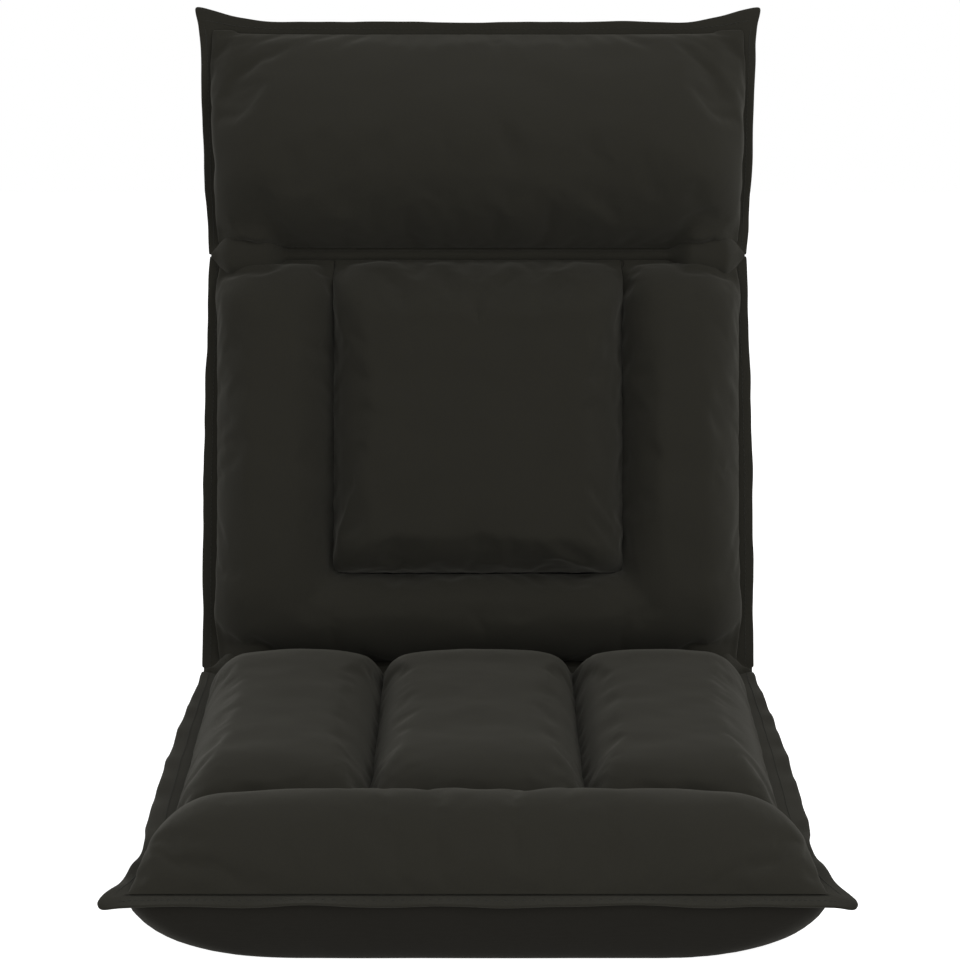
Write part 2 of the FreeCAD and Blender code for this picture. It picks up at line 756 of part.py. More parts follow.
def lower_foam(label, low_y, high_y, low_z, rooms, place):
    wall = size("cover_wall") + size("fit")
    block = tub(low_y, high_y, low_z, wall + size("fit"), wall)
    layer = Part.makeBox(4 * HALF, high_y - low_y, size("base_foam"), Vector(-2 * HALF, low_y, low_z))
    return shaped(label, block.common(layer).cut(rooms), place)


def slab(label, low_y, high_y, place):
    """The foam slab on the webbing, with rounded upright corners."""
    body = new_body(label, place)
    sketch = new_sketch(body, "outline", "XY_Plane", "Sizes.hinge_height + Sizes.flange_thick / 2")
    wire = rounded_outline(size("slab_half"), low_y, high_y, size("slab_thick"), 0)
    draw(sketch, [edge.Curve.trim(*edge.ParameterRange) for edge in wire.Edges])
    pad(body, sketch, "Sizes.slab_thick")
    return body


def slab_room(low_y, high_y):
    fit = size("fit")
    half = size("slab_half") + fit
    low = Vector(-half, low_y - fit, PLANE)
    return Part.makeBox(2 * half, high_y - low_y + 2 * fit, SLAB_TOP + fit - PLANE, low)


RISE_STEPS = [0.06, 0.14, 0.23, 0.33, 0.44, 0.56, 0.7, 0.85, 1.0]


def rises(length, start, end):
    """Stations along a pad, as (distance, share of its crown): each end rises from its own share.

    start and end are (length of the rise, share at the edge). A rise is a parabola, steep at its
    edge and level where it meets the crown.
    """
    stations = []
    for reach, share in (start, end):
        steps = [0.0, *RISE_STEPS[1:]] if share > 0 else RISE_STEPS
        stations.append([(step * reach, share + (1 - share) * (1 - (1 - step) ** 2)) for step in steps])
    first, last = stations
    return first + [(length - along, share) for along, share in reversed(last)]


def crowned_outline(low_x, high_x, along, height, rounds, drops):
    """A pad's section across X: upright sides, round shoulders and a crown between them."""
    shoulder = [height - drop for drop in drops]
    sides = [max(up - turn, 0.15 * up) for up, turn in zip(shoulder, rounds)]

    def at(x, up):
        return Vector(x, along, PAD_FLOOR + up)

    def corner(edge_x, inward, side, up, turn):
        """An arc that leaves the upright side smoothly and ends at the shoulder."""
        rise = up - side
        radius = (turn * turn + rise * rise) / (2 * turn)
        half = math.atan2(rise, radius - turn) / 2
        return at(edge_x + inward * radius * (1 - math.cos(half)), side + radius * math.sin(half))

    floors = at(low_x, 0), at(high_x, 0)
    walls = at(low_x, sides[0]), at(high_x, sides[1])
    tops = at(low_x + rounds[0], shoulder[0]), at(high_x - rounds[1], shoulder[1])
    bends = (
        corner(low_x, 1, sides[0], shoulder[0], rounds[0]),
        corner(high_x, -1, sides[1], shoulder[1], rounds[1]),
    )
    crown = at((tops[0].x + tops[1].x) / 2, height)
    return Part.Wire(
        [
            line(floors[0], walls[0]).toShape(),
            Part.Arc(walls[0], bends[0], tops[0]).toShape(),
            Part.Arc(tops[0], crown, tops[1]).toShape(),
            Part.Arc(tops[1], bends[1], walls[1]).toShape(),
            line(walls[1], floors[1]).toShape(),
            line(floors[1], floors[0]).toShape(),
        ]
    )


def crowned(low_x, high_x, start_y, stations, crown, rounds, drops, widen=(0.0, 0.0)):
    """A padded form lofted along Y. Its shoulders shrink where it is low, and its far end is wider by widen."""
    thick = PLANE + crown - PAD_FLOOR
    length = stations[-1][0] - stations[0][0]
    wires = []
    for distance, share in stations:
        height = thick * share
        left, right = (grow * (distance - stations[0][0]) / length for grow in widen)
        rounded = [turn * (0.35 + 0.65 * share) for turn in rounds]
        dropped = [drop * share for drop in drops]
        wires.append(
            crowned_outline(low_x - left, high_x + right, start_y + distance, height, rounded, dropped)
        )
    return Part.makeLoft(wires, True, True)


# Each pad's shoulders, as (width of the rounding, drop from the crown to the shoulder)
EDGE_SHOULDER = (26, 14)
SEAM_SHOULDER = (14, 11)
ROLL_SHOULDER = (44, 20)
CENTER_SIDE_SHOULDER = (12, 8)
CENTER_SHOULDER = (20, 8)
PILLOW_SHOULDER = (46, 22)
PILLOW_WIDEN = 5
# The surround's bottom bar ends below the center pad with a short rise, a little lower than its arms
BAR_END = (10, 0.8)
BAR_BELOW_ARMS = 1.5


def seat_channels():
    """Three padded channels from the fold to the front roll's seam."""
    half, gap = size("channel_half"), size("seam_gap") / 2
    seam_y = FRONT + size("roll_depth") + gap
    length = FOLD - size("fold_gap") / 2 - seam_y
    stations = rises(length, (size("channel_rise"), size("seam_share")), (size("seat_soft"), 0))
    inner, outer = SEAM_SHOULDER, EDGE_SHOULDER
    rooms = [slab_room(*SEAT_SLAB), *hinge_room(FOLD, -1)]
    waist = size("waist_in")
    edge = HALF - waist
    bands = {
        "seat_channel_left": (-edge, -half - gap, (outer[0], inner[0]), (outer[1], inner[1]), (waist, 0)),
        "seat_channel_middle": (-half + gap, half - gap, (inner[0], inner[0]), (inner[1], inner[1]), (0, 0)),
        "seat_channel_right": (half + gap, edge, (inner[0], outer[0]), (inner[1], outer[1]), (0, waist)),
    }
    for label, (low_x, high_x, rounds, drops, widen) in bands.items():
        form = crowned(low_x, high_x, seam_y, stations, size("seat_crown"), rounds, drops, widen)
        shaped(label, form.cut(rooms), SEAT)


def front_roll():
    """The bolster across the front, low at the flange and full towards its seam."""
    start = FRONT + size("flange_width")
    length = size("roll_depth") - size("flange_width") - size("seam_gap") / 2
    stations = rises(length, (size("roll_front_rise"), 0), (size("roll_rear_rise"), size("seam_share")))
    corner = HALF + size("roll_flare")
    taper = -size("roll_flare") - size("waist_in")
    turn, drop = ROLL_SHOULDER
    turns, drops = (turn, turn), (drop, drop)
    form = crowned(-corner, corner, start, stations, size("roll_crown"), turns, drops, (taper, taper))
    shaped("seat_front_roll", form, SEAT)


def surround_pad():
    """Two side arms and a bottom bar in one U, rising from the fold and running under the neck."""
    gap, start = size("seam_gap"), size("fold_gap") / 2
    inner = size("center_half") + gap
    length = size("back_length") - 2 * start
    crown = size("back_crown")
    rise = (size("back_soft"), 0)
    arm_stations = rises(length, rise, (size("neck_soft"), 0))
    (near_turn, near_drop), (edge_turn, edge_drop) = CENTER_SIDE_SHOULDER, EDGE_SHOULDER
    arms = [
        crowned(low, high, FOLD + start, arm_stations, crown, turns, drops)
        for low, high, turns, drops in (
            (-HALF, -inner, (edge_turn, near_turn), (edge_drop, near_drop)),
            (inner, HALF, (near_turn, edge_turn), (near_drop, edge_drop)),
        )
    ]
    bar_length = size("center_start") - gap - start
    last_rise, last_share = BAR_END
    ends = rises(bar_length, rise, (last_rise, last_share))
    bar_stations = [station for station in ends if station[0] < bar_length - last_rise or station[1] < 1]
    half = (inner + HALF) / 2
    turns, drops = (edge_turn, edge_turn), (edge_drop, edge_drop)
    bar = crowned(-half, half, FOLD + start, bar_stations, crown - BAR_BELOW_ARMS, turns, drops)
    rooms = [slab_room(*BACK_SLAB), *hinge_room(FOLD, 1), *hinge_room(NECK, -1)]
    form = arms[0].fuse([arms[1], bar]).cut(rooms)
    shaped("back_surround_pad", form, BACK)


def center_pad():
    """The square pad inside the surround."""
    start = FOLD + size("center_start")
    length = size("back_length") - size("center_start") - size("fold_gap") / 2
    half = size("center_half")
    low_end = (size("center_rise"), size("center_share"))
    stations = rises(length, low_end, (size("center_neck_soft"), 0))
    turn, drop = CENTER_SHOULDER
    form = crowned(-half, half, start, stations, size("center_crown"), (turn, turn), (drop, drop))
    shaped("back_center_pad", form.cut(slab_room(*BACK_SLAB)), BACK)


def pillow():
    """The headrest's single pillow, fullest over the neck and thin at the top."""
    start = size("fold_gap") / 2
    length = size("head_length") - size("flange_width") - start
    stations = rises(length, (size("pillow_soft"), 0), (length - size("pillow_soft") - 1, 0))
    turn, drop = PILLOW_SHOULDER
    widen = (PILLOW_WIDEN, PILLOW_WIDEN)
    turns, drops = (turn, turn), (drop, drop)
    form = crowned(-HALF, HALF, NECK + start, stations, size("pillow_crown"), turns, drops, widen)
    rooms = [slab_room(*HEAD_SLAB), *hinge_room(NECK, 1)]
    shaped("head_pillow", form.cut(rooms), BACK)


def strip(points, inner):
    """A flat flange between an outer run of arcs and lines and a straight inner run."""
    edges = []
    for piece in points:
        ends = [Vector(x, y, FLANGE_LOW) for x, y in piece]
        edges.append((Part.Arc(*ends) if len(ends) == 3 else line(*ends)).toShape())
    inside = [Vector(x, y, FLANGE_LOW) for x, y in inner]
    edges += [line(one, other).toShape() for one, other in zip(inside, inside[1:])]
    wire = Part.Wire(Part.sortEdges(edges)[0])
    return Part.Face(wire).extrude(Vector(0, 0, size("flange_thick")))


def mirrored_points(piece):
    return [(-x, y) for x, y in reversed(piece)]


def seat_flange():
    """Round the sides and front, drawn in at the roll's seam and flared to an ear at each corner."""
    outer, inner = size("flange_span") / 2, HALF - 2
    rear = FOLD - size("fold_gap")
    seam = FRONT + size("roll_depth") - 18
    ear = (outer + size("ear_side"), FRONT - 5)
    side = [
        [(outer, rear), (outer + 4, (rear + seam) / 2), (outer - 3, seam)],
        [(outer - 3, seam), (outer + 2, (seam + FRONT) / 2 - 10), ear],
    ]
    front = [[ear, (0, FRONT), (-ear[0], ear[1])]]
    far = [mirrored_points(piece) for piece in reversed(side)]
    inside = [
        (-outer, rear),
        (-inner, rear),
        (-inner, FRONT + size("flange_width") + 2),
        (inner, FRONT + size("flange_width") + 2),
        (inner, rear),
        (outer, rear),
    ]
    shaped("seat_flange", strip(side + front + far, inside), SEAT)


def back_flange():
    """One strip down each side, narrowest at the neck."""
    outer, inner = size("flange_span") / 2, HALF - 2
    low, high = FOLD + size("fold_gap"), NECK - size("neck_gap")
    strips = []
    for side in SIDES.values():
        edge = [[(side * outer, low), (side * (outer - 1), (low + high) / 2), (side * (outer - 6), high)]]
        inside = [(side * (outer - 6), high), (side * inner, high), (side * inner, low), (side * outer, low)]
        strips.append(strip(edge, inside))
    shaped("back_flange", Part.Compound(strips), BACK)


def head_flange():
    """Round the headrest, with an ear standing up and out at each top corner."""
    outer, inner = size("flange_span") / 2, HALF - 2
    low = NECK + size("neck_gap")
    ear = (outer + 8, TOP + size("ear_top"))
    shoulder = (ear[0] - 34, TOP)
    side = [
        [(outer - 6, low), (outer + 2, (low + TOP) / 2), (outer + 2, TOP - 30)],
        [(outer + 2, TOP - 30), (outer + 3, TOP - 8), ear],
        [ear, (ear[0] - 16, TOP + 3), shoulder],
    ]
    top = [[shoulder, (-shoulder[0], shoulder[1])]]
    far = [mirrored_points(piece) for piece in reversed(side)]
    under = TOP - size("flange_width") - 2
    inside = [
        (-(outer - 6), low),
        (-inner, low),
        (-inner - 5, under),
        (inner + 5, under),
        (inner, low),
        (outer - 6, low),
    ]
    shaped("head_flange", strip(side + top + far, inside), BACK)


def fold_web(label, axis_y, fold, place):
    """The stitched line where top and lower covers meet across a fold, stopped short of the hinges."""
    reach, thick = size("web_reach"), size("flange_thick")
    half = size("hinge_x") - size("cheek_gap") - size("cheek_thick") - size("head_thick") - size("pocket_clear")
    low = Vector(-half, axis_y - reach, FLANGE_LOW)
    before = Part.makeBox(2 * half, reach, thick, low)
    beyond = Part.makeBox(2 * half, reach, thick, Vector(-half, axis_y, FLANGE_LOW))
    beyond.rotate(Vector(0, axis_y, PLANE), Vector(1, 0, 0), fold)
    spine = Part.makeCylinder(thick / 2, 2 * half, Vector(-half, axis_y, PLANE), Vector(1, 0, 0))
    shaped(label, before.fuse([beyond, spine]), place)


# The chair

STRAP_MARGIN = 11
SLAB_FOLD = size("slab_thick") / math.tan(math.radians(14))
SEAT_SLAB = (FRONT + size("roll_depth") + 2, FOLD - SLAB_FOLD)
BACK_SLAB = (FOLD + SLAB_FOLD, NECK - 55)
HEAD_SLAB = (NECK + 62, TOP - 50)


def build_seat():
    start = FRONT + size("flange_width") - 2
    end = FOLD - size("fold_gap")
    bent_tube("seat_frame_tube", tube_end(FOLD, -1), FRONT + size("frame_inset"), SEAT)
    cross_bar("seat_cross_bar", tube_end(FOLD, -1) - bar_setback(), SEAT)
    straps_end = tube_end(FOLD, -1) - bar_setback() - size("bar_od")
    webbing("seat_webbing", FRONT + size("roll_depth") - STRAP_MARGIN, straps_end, 4, "Sizes.strap_width", SEAT)
    rooms = hinge_room(FOLD, -1)
    lower_cover("seat_base_cover", start, end, 0, rooms, SEAT)
    lower_foam("seat_base_foam", start, end, 0, rooms, SEAT)
    slab("seat_foam", *SEAT_SLAB, SEAT)
    seat_channels()
    front_roll()
    seat_flange()
    for name, side in SIDES.items():
        fork_arm(f"seat_arm_{name}", side, FOLD, SEAT)
        pawl(f"recline_pawl_{name}", side, FOLD, SEAT)
    hinge_pins("recline_pins", FOLD, SEAT)
    pawl_pins("recline_pawl_pins", FOLD, SEAT)
    pawl_springs("recline_pawl_springs", FOLD, SEAT)
    arm_rivets("seat_arm_rivets", [(FOLD, -1)], SEAT)
    fold_web("waist_web", FOLD, 180 - size("rest_angle"), SEAT)


def build_back():
    start, end = FOLD + size("fold_gap"), NECK - size("fold_gap")
    low, high = tube_end(FOLD, 1), tube_end(NECK, -1)
    for name, side in SIDES.items():
        side_rail(f"back_rail_{name}", side, low, high, BACK)
        tongue_arm(f"back_arm_{name}", side, FOLD, BACK)
        ratchet(f"recline_ratchet_{name}", side, FOLD, BACK)
        fork_arm(f"head_carrier_{name}", side, NECK, BACK)
        pawl(f"head_pawl_{name}", side, NECK, BACK)
    cross_bar("back_lower_bar", low + bar_setback(), BACK)
    cross_bar("back_upper_bar", high - bar_setback(), BACK)
    strap_setback = bar_setback() + STRAP_MARGIN
    webbing("back_webbing", low + strap_setback, high - strap_setback, 3, "Sizes.back_strap_width", BACK)
    rooms = [*hinge_room(FOLD, 1), *hinge_room(NECK, -1)]
    lower_cover("back_rear_cover", start, end, size("lift_off"), rooms, BACK)
    lower_foam("back_rear_foam", start, end, size("lift_off"), rooms, BACK)
    slab("back_foam", *BACK_SLAB, BACK)
    surround_pad()
    center_pad()
    back_flange()
    hinge_pins("head_pins", NECK, BACK)
    pawl_pins("head_pawl_pins", NECK, BACK)
    pawl_springs("head_pawl_springs", NECK, BACK)
    arm_rivets("back_arm_rivets", [(FOLD, 1), (NECK, -1)], BACK)
    fold_web("neck_web", NECK, 0, BACK)


def build_head():
    start, end = NECK + size("fold_gap"), TOP - size("flange_width") + 2
    bent_tube("head_frame_tube", tube_end(NECK, 1), TOP - size("frame_inset"), BACK)
    for name, side in SIDES.items():
        tongue_arm(f"head_arm_{name}", side, NECK, BACK)
        ratchet(f"head_ratchet_{name}", side, NECK, BACK)
    rooms = hinge_room(NECK, 1)
    lower_cover("head_rear_cover", start, end, size("lift_off"), rooms, BACK)
    lower_foam("head_rear_foam", start, end, size("lift_off"), rooms, BACK)
    slab("head_foam", *HEAD_SLAB, BACK)
    pillow()
    head_flange()
    arm_rivets("head_arm_rivets", [(NECK, 1)], BACK)


build_seat()
build_back()
build_head()
doc.recompute()

for item in doc.Objects:
    if {"Invalid", "Error"} & set(item.State):
        raise ValueError(f"{item.Label} failed: {item.State}")
os.makedirs("parts", exist_ok=True)
for item in kept:
    if item.Shape.isNull() or not item.Shape.isValid():
        raise ValueError(f"{item.Label} has no valid shape")
for item in kept:
    item.Shape.exportStep(f"parts/{item.Label}.step")
    solids = len(item.Shape.Solids)
    print(f"{item.Label}: {solids} solid(s), {item.Shape.Volume / 1000:.1f} cm3")
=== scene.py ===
"""Looks for the folding floor chair: padded covers, sewn edges, lower covers, fold sleeves, frame finishes.

Metres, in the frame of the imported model. The back and the headrest are made lying flat, as they are
cut and sewn, and then stood up about the recline axis.
"""

import math
import random

import bpy
from mathutils import Matrix, Vector, noise


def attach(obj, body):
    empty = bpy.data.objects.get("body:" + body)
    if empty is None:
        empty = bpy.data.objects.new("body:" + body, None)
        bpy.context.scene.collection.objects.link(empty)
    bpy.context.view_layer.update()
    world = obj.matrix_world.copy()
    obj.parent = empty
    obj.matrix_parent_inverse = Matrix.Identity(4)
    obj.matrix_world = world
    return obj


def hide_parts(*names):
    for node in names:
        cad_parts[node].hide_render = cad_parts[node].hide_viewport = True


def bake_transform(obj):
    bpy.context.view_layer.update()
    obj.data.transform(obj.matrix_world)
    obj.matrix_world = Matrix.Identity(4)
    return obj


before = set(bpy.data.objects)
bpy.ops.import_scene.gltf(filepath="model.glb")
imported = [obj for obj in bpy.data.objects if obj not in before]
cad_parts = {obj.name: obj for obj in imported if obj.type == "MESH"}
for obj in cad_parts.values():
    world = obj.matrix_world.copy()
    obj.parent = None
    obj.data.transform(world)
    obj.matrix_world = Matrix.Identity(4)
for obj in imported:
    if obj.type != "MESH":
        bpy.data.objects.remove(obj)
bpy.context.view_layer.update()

# Half the pads' width, the hinges' plane, and the lines across the chair from its front to its top
HALF = 0.247
PLANE = 0.052
FRONT = -0.250
ROLL_SEAM = -0.130
FOLD = 0.250
NECK = 0.643
TOP = 0.864

# The flange's two faces with the pads' and covers' clearance, and where the seams and hinges lie
PAD_FLOOR = 0.0531
FLANGE_LOW = 0.0512
CHANNEL_HALF = 0.087
HINGE_X = 0.215
SEAM_LAP = 0.0022

# From a fold's axis to a pad's edge between the hinges and over them, and to a sewn end
FOLD_GAP = 0.0075
HINGE_GAP = 0.0095
END_GAP = 0.004

# The square pad lies in the surround, a little wider than its opening
CENTER_HALF = 0.1378
CENTER_START = 0.0925
SURROUND_INNER = 0.1345

# A pad's sewn hem, the even mesh of its cover, and the wall of the lower covers
HEM = 0.0012
MESH_STEP = 0.0045
LOWER_WALL = 0.0017

# The flange's two layers of cloth, where its stitches run, and half a stitch's length, width and height
EDGE_LAYERS = 0.0042
STITCHED_AT = 0.55
STITCH_PITCH = 0.0042
STITCH_HALVES = (0.00155, 0.00036, 0.00042)

RECLINE = math.radians(75)
STAND = (
    Matrix.Translation((0, FOLD, PLANE))
    @ Matrix.Rotation(RECLINE, 4, "X")
    @ Matrix.Translation((0, -FOLD, -PLANE))
)
LAID = Matrix.Identity(4)


def mix(start, end, share):
    return start + (end - start) * share


def smooth(share):
    share = min(max(share, 0.0), 1.0)
    return share * share * (3 - 2 * share)


def crowded(share, strength):
    """Draw even shares towards both ends."""
    return mix(share, 0.5 - 0.5 * math.cos(math.pi * share), strength)


def rise(distance, reach, start=0.0):
    """A pad's height share at a distance from an edge: steep at the edge and level at its reach."""
    share = min(max(distance / reach, 0.0), 1.0)
    return start + (1 - start) * (1 - (1 - share) ** 2)


def round_edge(distance, radius):
    """A quarter circle: upright at the edge and level at its radius."""
    share = min(max(distance / radius, 0.0), 1.0)
    return math.sqrt(1 - (1 - share) ** 2)


# Modelling helpers


def select_only(piece):
    bpy.ops.object.select_all(action="DESELECT")
    piece.select_set(True)
    bpy.context.view_layer.objects.active = piece


def apply_modifiers(piece):
    select_only(piece)
    for modifier in list(piece.modifiers):
        bpy.ops.object.modifier_apply(modifier=modifier.name)


def place_mesh(piece, place):
    """Carry the mesh itself, so that the object stays at the origin."""
    piece.data.transform(piece.matrix_world)
    piece.matrix_world = Matrix.Identity(4)
    piece.data.transform(place)
    piece.data.update()


def point_outwards(piece):
    select_only(piece)
    bpy.ops.object.mode_set(mode="EDIT")
    bpy.ops.mesh.select_all(action="SELECT")
    bpy.ops.mesh.remove_doubles(threshold=0.00001)
    bpy.ops.mesh.normals_make_consistent(inside=False)
    bpy.ops.object.mode_set(mode="OBJECT")


def shade(piece, angle=60):
    select_only(piece)
    bpy.ops.object.shade_smooth_by_angle(angle=math.radians(angle))


def subdivided(piece):
    modifier = piece.modifiers.new("finish", "SUBSURF")
    modifier.levels = 1
    modifier.render_levels = 1
    apply_modifiers(piece)


def remeshed(piece, step):
    modifier = piece.modifiers.new("even", "REMESH")
    modifier.mode = "VOXEL"
    modifier.voxel_size = step
    modifier.use_smooth_shade = True
    apply_modifiers(piece)


def eased(piece, rounds):
    smoother = piece.modifiers.new("ease", "SMOOTH")
    smoother.factor = 0.5
    smoother.iterations = rounds
    apply_modifiers(piece)


def delete_faces(piece, chosen):
    """Delete the faces whose middle is chosen."""
    for vertex in piece.data.vertices:
        vertex.select = False
    for edge in piece.data.edges:
        edge.select = False
    for face in piece.data.polygons:
        face.select = chosen(face.center.x, face.center.y)
    bpy.ops.object.mode_set(mode="EDIT")
    bpy.ops.mesh.delete(type="FACE")
    bpy.ops.object.mode_set(mode="OBJECT")


def grid_sheet(name, columns, rows):
    """A flat grid over the unit square, centred on the origin."""
    bpy.ops.object.select_all(action="DESELECT")
    bpy.ops.mesh.primitive_grid_add(x_subdivisions=columns, y_subdivisions=rows, size=1)
    piece = bpy.context.active_object
    piece.name = name
    piece.data.name = name
    return piece


# Padded pieces


def pad_blank(name, low_y, high_y, edges, height, columns, rows, hole=None):
    """A closed pad: its floor is on the flange, and its top is lifted to a height at each point.

    edges gives the left and right edge at a place along Y. Points crowd towards the edges, where the
    pad rises steeply.
    """
    piece = grid_sheet(name, columns, rows)
    for vertex in piece.data.vertices:
        y = mix(low_y, high_y, crowded(vertex.co.y + 0.5, 0.6))
        left, right = edges(y)
        vertex.co = (mix(left, right, crowded(vertex.co.x + 0.5, 0.75)), y, PAD_FLOOR)
    select_only(piece)
    bpy.context.tool_settings.mesh_select_mode = (False, False, True)
    if hole is not None:
        delete_faces(piece, hole)
    bpy.ops.object.mode_set(mode="EDIT")
    bpy.ops.mesh.select_all(action="SELECT")
    bpy.ops.mesh.extrude_region_move(TRANSFORM_OT_translate={"value": (0, 0, HEM)})
    bpy.ops.object.mode_set(mode="OBJECT")
    for vertex in piece.data.vertices:
        if vertex.co.z > PAD_FLOOR + HEM / 2:
            vertex.co.z += max(height(vertex.co.x, vertex.co.y), 0.0)
    point_outwards(piece)
    return piece


def sew_down(piece):
    """Hold the pad's floor and the first millimetres of its wall, where they are sewn to the flange."""
    held = piece.vertex_groups.new(name="sewn")
    sewn_top = PAD_FLOOR + 0.004
    for vertex in piece.data.vertices:
        if vertex.co.z < sewn_top:
            held.add([vertex.index], 1.0, "REPLACE")


def swell(piece, cap):
    """Blow the cover up a little against its sewn edges, and keep each point's move within a cap."""
    at_rest = [vertex.co.copy() for vertex in piece.data.vertices]
    cloth = piece.modifiers.new("swell", "CLOTH")
    rules = cloth.settings
    rules.quality = 5
    rules.mass = 0.3
    rules.tension_stiffness = 15
    rules.compression_stiffness = 15
    rules.shear_stiffness = 5
    rules.bending_stiffness = 0.4
    rules.use_pressure = True
    rules.uniform_pressure_force = 4.0
    rules.shrink_min = -0.02
    rules.vertex_group_mass = "sewn"
    rules.pin_stiffness = 1.0
    rules.effector_weights.gravity = 0
    cloth.collision_settings.use_collision = False
    scene = bpy.context.scene
    for step in range(1, 21):
        scene.frame_set(step)
    apply_modifiers(piece)
    scene.frame_set(1)
    for vertex, start in zip(piece.data.vertices, at_rest):
        moved = vertex.co - start
        if moved.length > cap:
            vertex.co = start + moved * (cap / moved.length)


def make_uneven(piece):
    """The slight hollows and humps of foam under cloth, none of them near the sewn edge."""
    for vertex in piece.data.vertices:
        loose = smooth((vertex.co.z - PAD_FLOOR - 0.004) / 0.012)
        broad = noise.noise(Vector((vertex.co.x * 16, vertex.co.y * 26, 3.1)))
        small = noise.noise(Vector((vertex.co.x * 44 + 9, vertex.co.y * 60, 7.7)))
        vertex.co.z += loose * (0.0013 * broad + 0.0004 * small)


def soften(piece, step, cap):
    """Turn a pad's blank into its stuffed cover."""
    remeshed(piece, step)
    eased(piece, 2)
    sew_down(piece)
    swell(piece, cap)
    make_uneven(piece)
    eased(piece, 2)
    subdivided(piece)
    shade(piece, 180)
    return piece


def hinge_bulge(x):
    """How far the fold swells round the hinges, from 0 between them to 1 at each."""
    return smooth((0.037 - abs(abs(x) - HINGE_X)) / 0.022)


def fold_room(x):
    """From the fold axis to the nearest pad, a little wider where the hinges are."""
    return mix(FOLD_GAP, HINGE_GAP, hinge_bulge(x))


def from_fold(distance, reach, x):
    """A pad's rise from a fold. Over a hinge's arms it starts with a wall that covers them."""
    share = rise(distance, reach)
    wall = 0.46 * hinge_bulge(x)
    return max(share, wall) if distance > 0 else share


def channel_edges(low, high):
    """The outer edges draw in towards the front roll."""

    def edges(y):
        drawn = 0.007 * ((FOLD - y) / (FOLD - ROLL_SEAM))
        left = low + drawn if low == -HALF else low
        right = high - drawn if high == HALF else high
        return left, right

    return edges


def seat_channel(name, low, high):
    """One of the three sewn channels, from the front roll's seam to the fold."""
    edges = channel_edges(low, high)
    crown, inner_turn, outer_turn = 0.0469, 0.022, 0.032
    left_turn = outer_turn if low == -HALF else inner_turn
    right_turn = outer_turn if high == HALF else inner_turn

    def height(x, y):
        left, right = edges(y)
        across = round_edge(x - left, left_turn) * round_edge(right - x, right_turn)
        middle, half = (left + right) / 2, (right - left) / 2
        dome = 1 - 0.16 * ((x - middle) / half) ** 2
        front = rise(y - ROLL_SEAM, 0.060, 0.62)
        rear = from_fold(FOLD - fold_room(x) - y, 0.092, x)
        return crown * across * dome * front * rear - HEM

    piece = pad_blank(name, ROLL_SEAM + 0.0003, FOLD - FOLD_GAP, edges, height, 36, 70)
    return soften(piece, MESH_STEP, 0.004)


def roll_edges(y):
    """The roll widens from its seam to the drawn-out front corners."""
    share = (y - FRONT) / (ROLL_SEAM - FRONT)
    half = mix(HALF + 0.012, HALF - 0.007, share) + 0.006 * (1 - share) ** 4
    return -half, half


def front_roll():
    """The bolster across the front, low at its flange, its front corners drawn out to the ears."""
    crown = 0.0539
    low_y = FRONT + 0.0115

    def height(x, y):
        left, right = roll_edges(y)
        across = round_edge(min(x - left, right - x), 0.055)
        dome = 1 - 0.10 * (x / right) ** 2
        front = rise(y - low_y, 0.060)
        rear = rise(ROLL_SEAM - y, 0.045, 0.55)
        return crown * across * dome * front * rear - HEM

    piece = pad_blank("front_roll", low_y, ROLL_SEAM - 0.0003, roll_edges, height, 90, 30)
    return soften(piece, MESH_STEP, 0.005)


def surround():
    """The U of padding: two arms and a bottom bar, running under the neck."""
    crown = 0.0489
    bar_end = FOLD + CENTER_START + 0.0015
    arm_middle = (HALF + SURROUND_INNER) / 2
    arm_half = (HALF - SURROUND_INNER) / 2

    def in_opening(x, y):
        return abs(x) < SURROUND_INNER and y > bar_end

    def height(x, y):
        if in_opening(x, y):
            return -HEM
        low = from_fold(y - FOLD - fold_room(x), 0.072, x)
        high = from_fold(NECK - fold_room(x) - y, 0.040, x)
        outside = round_edge(HALF - abs(x), 0.036)
        inward = round_edge(max(abs(x) - SURROUND_INNER, bar_end - y), 0.030)
        off_middle = min(max((arm_middle - abs(x)) / arm_half, -1.0), 1.0)
        dome = 1 - 0.12 * off_middle**2 * (1 if y > bar_end else 0.6)
        return crown * (low * high) * outside * inward * dome - HEM

    edges = (-HALF, HALF)
    piece = pad_blank(
        "back_surround", FOLD + FOLD_GAP, NECK - END_GAP, lambda y: edges, height, 110, 84, in_opening
    )
    return soften(piece, MESH_STEP, 0.004)


def square_pad():
    """The square pad inside the surround, its rim tucked below the U's crown."""
    crown, side_turn = 0.0549, 0.032
    low_y = FOLD + CENTER_START

    def height(x, y):
        across = round_edge(x + CENTER_HALF, side_turn) * round_edge(CENTER_HALF - x, side_turn)
        dome = 1 - 0.12 * (x / CENTER_HALF) ** 2
        low = round_edge(y - low_y, 0.030)
        high = rise(NECK - FOLD_GAP - y, 0.042)
        return crown * across * dome * low * high - HEM

    edges = (-CENTER_HALF, CENTER_HALF)
    piece = pad_blank("back_square", low_y, NECK - END_GAP, lambda y: edges, height, 60, 64)
    return soften(piece, MESH_STEP, 0.005)


def head_edges(y):
    """The headrest widens a little towards its top."""
    half = HALF + 0.005 * (y - NECK) / (TOP - NECK)
    return -half, half


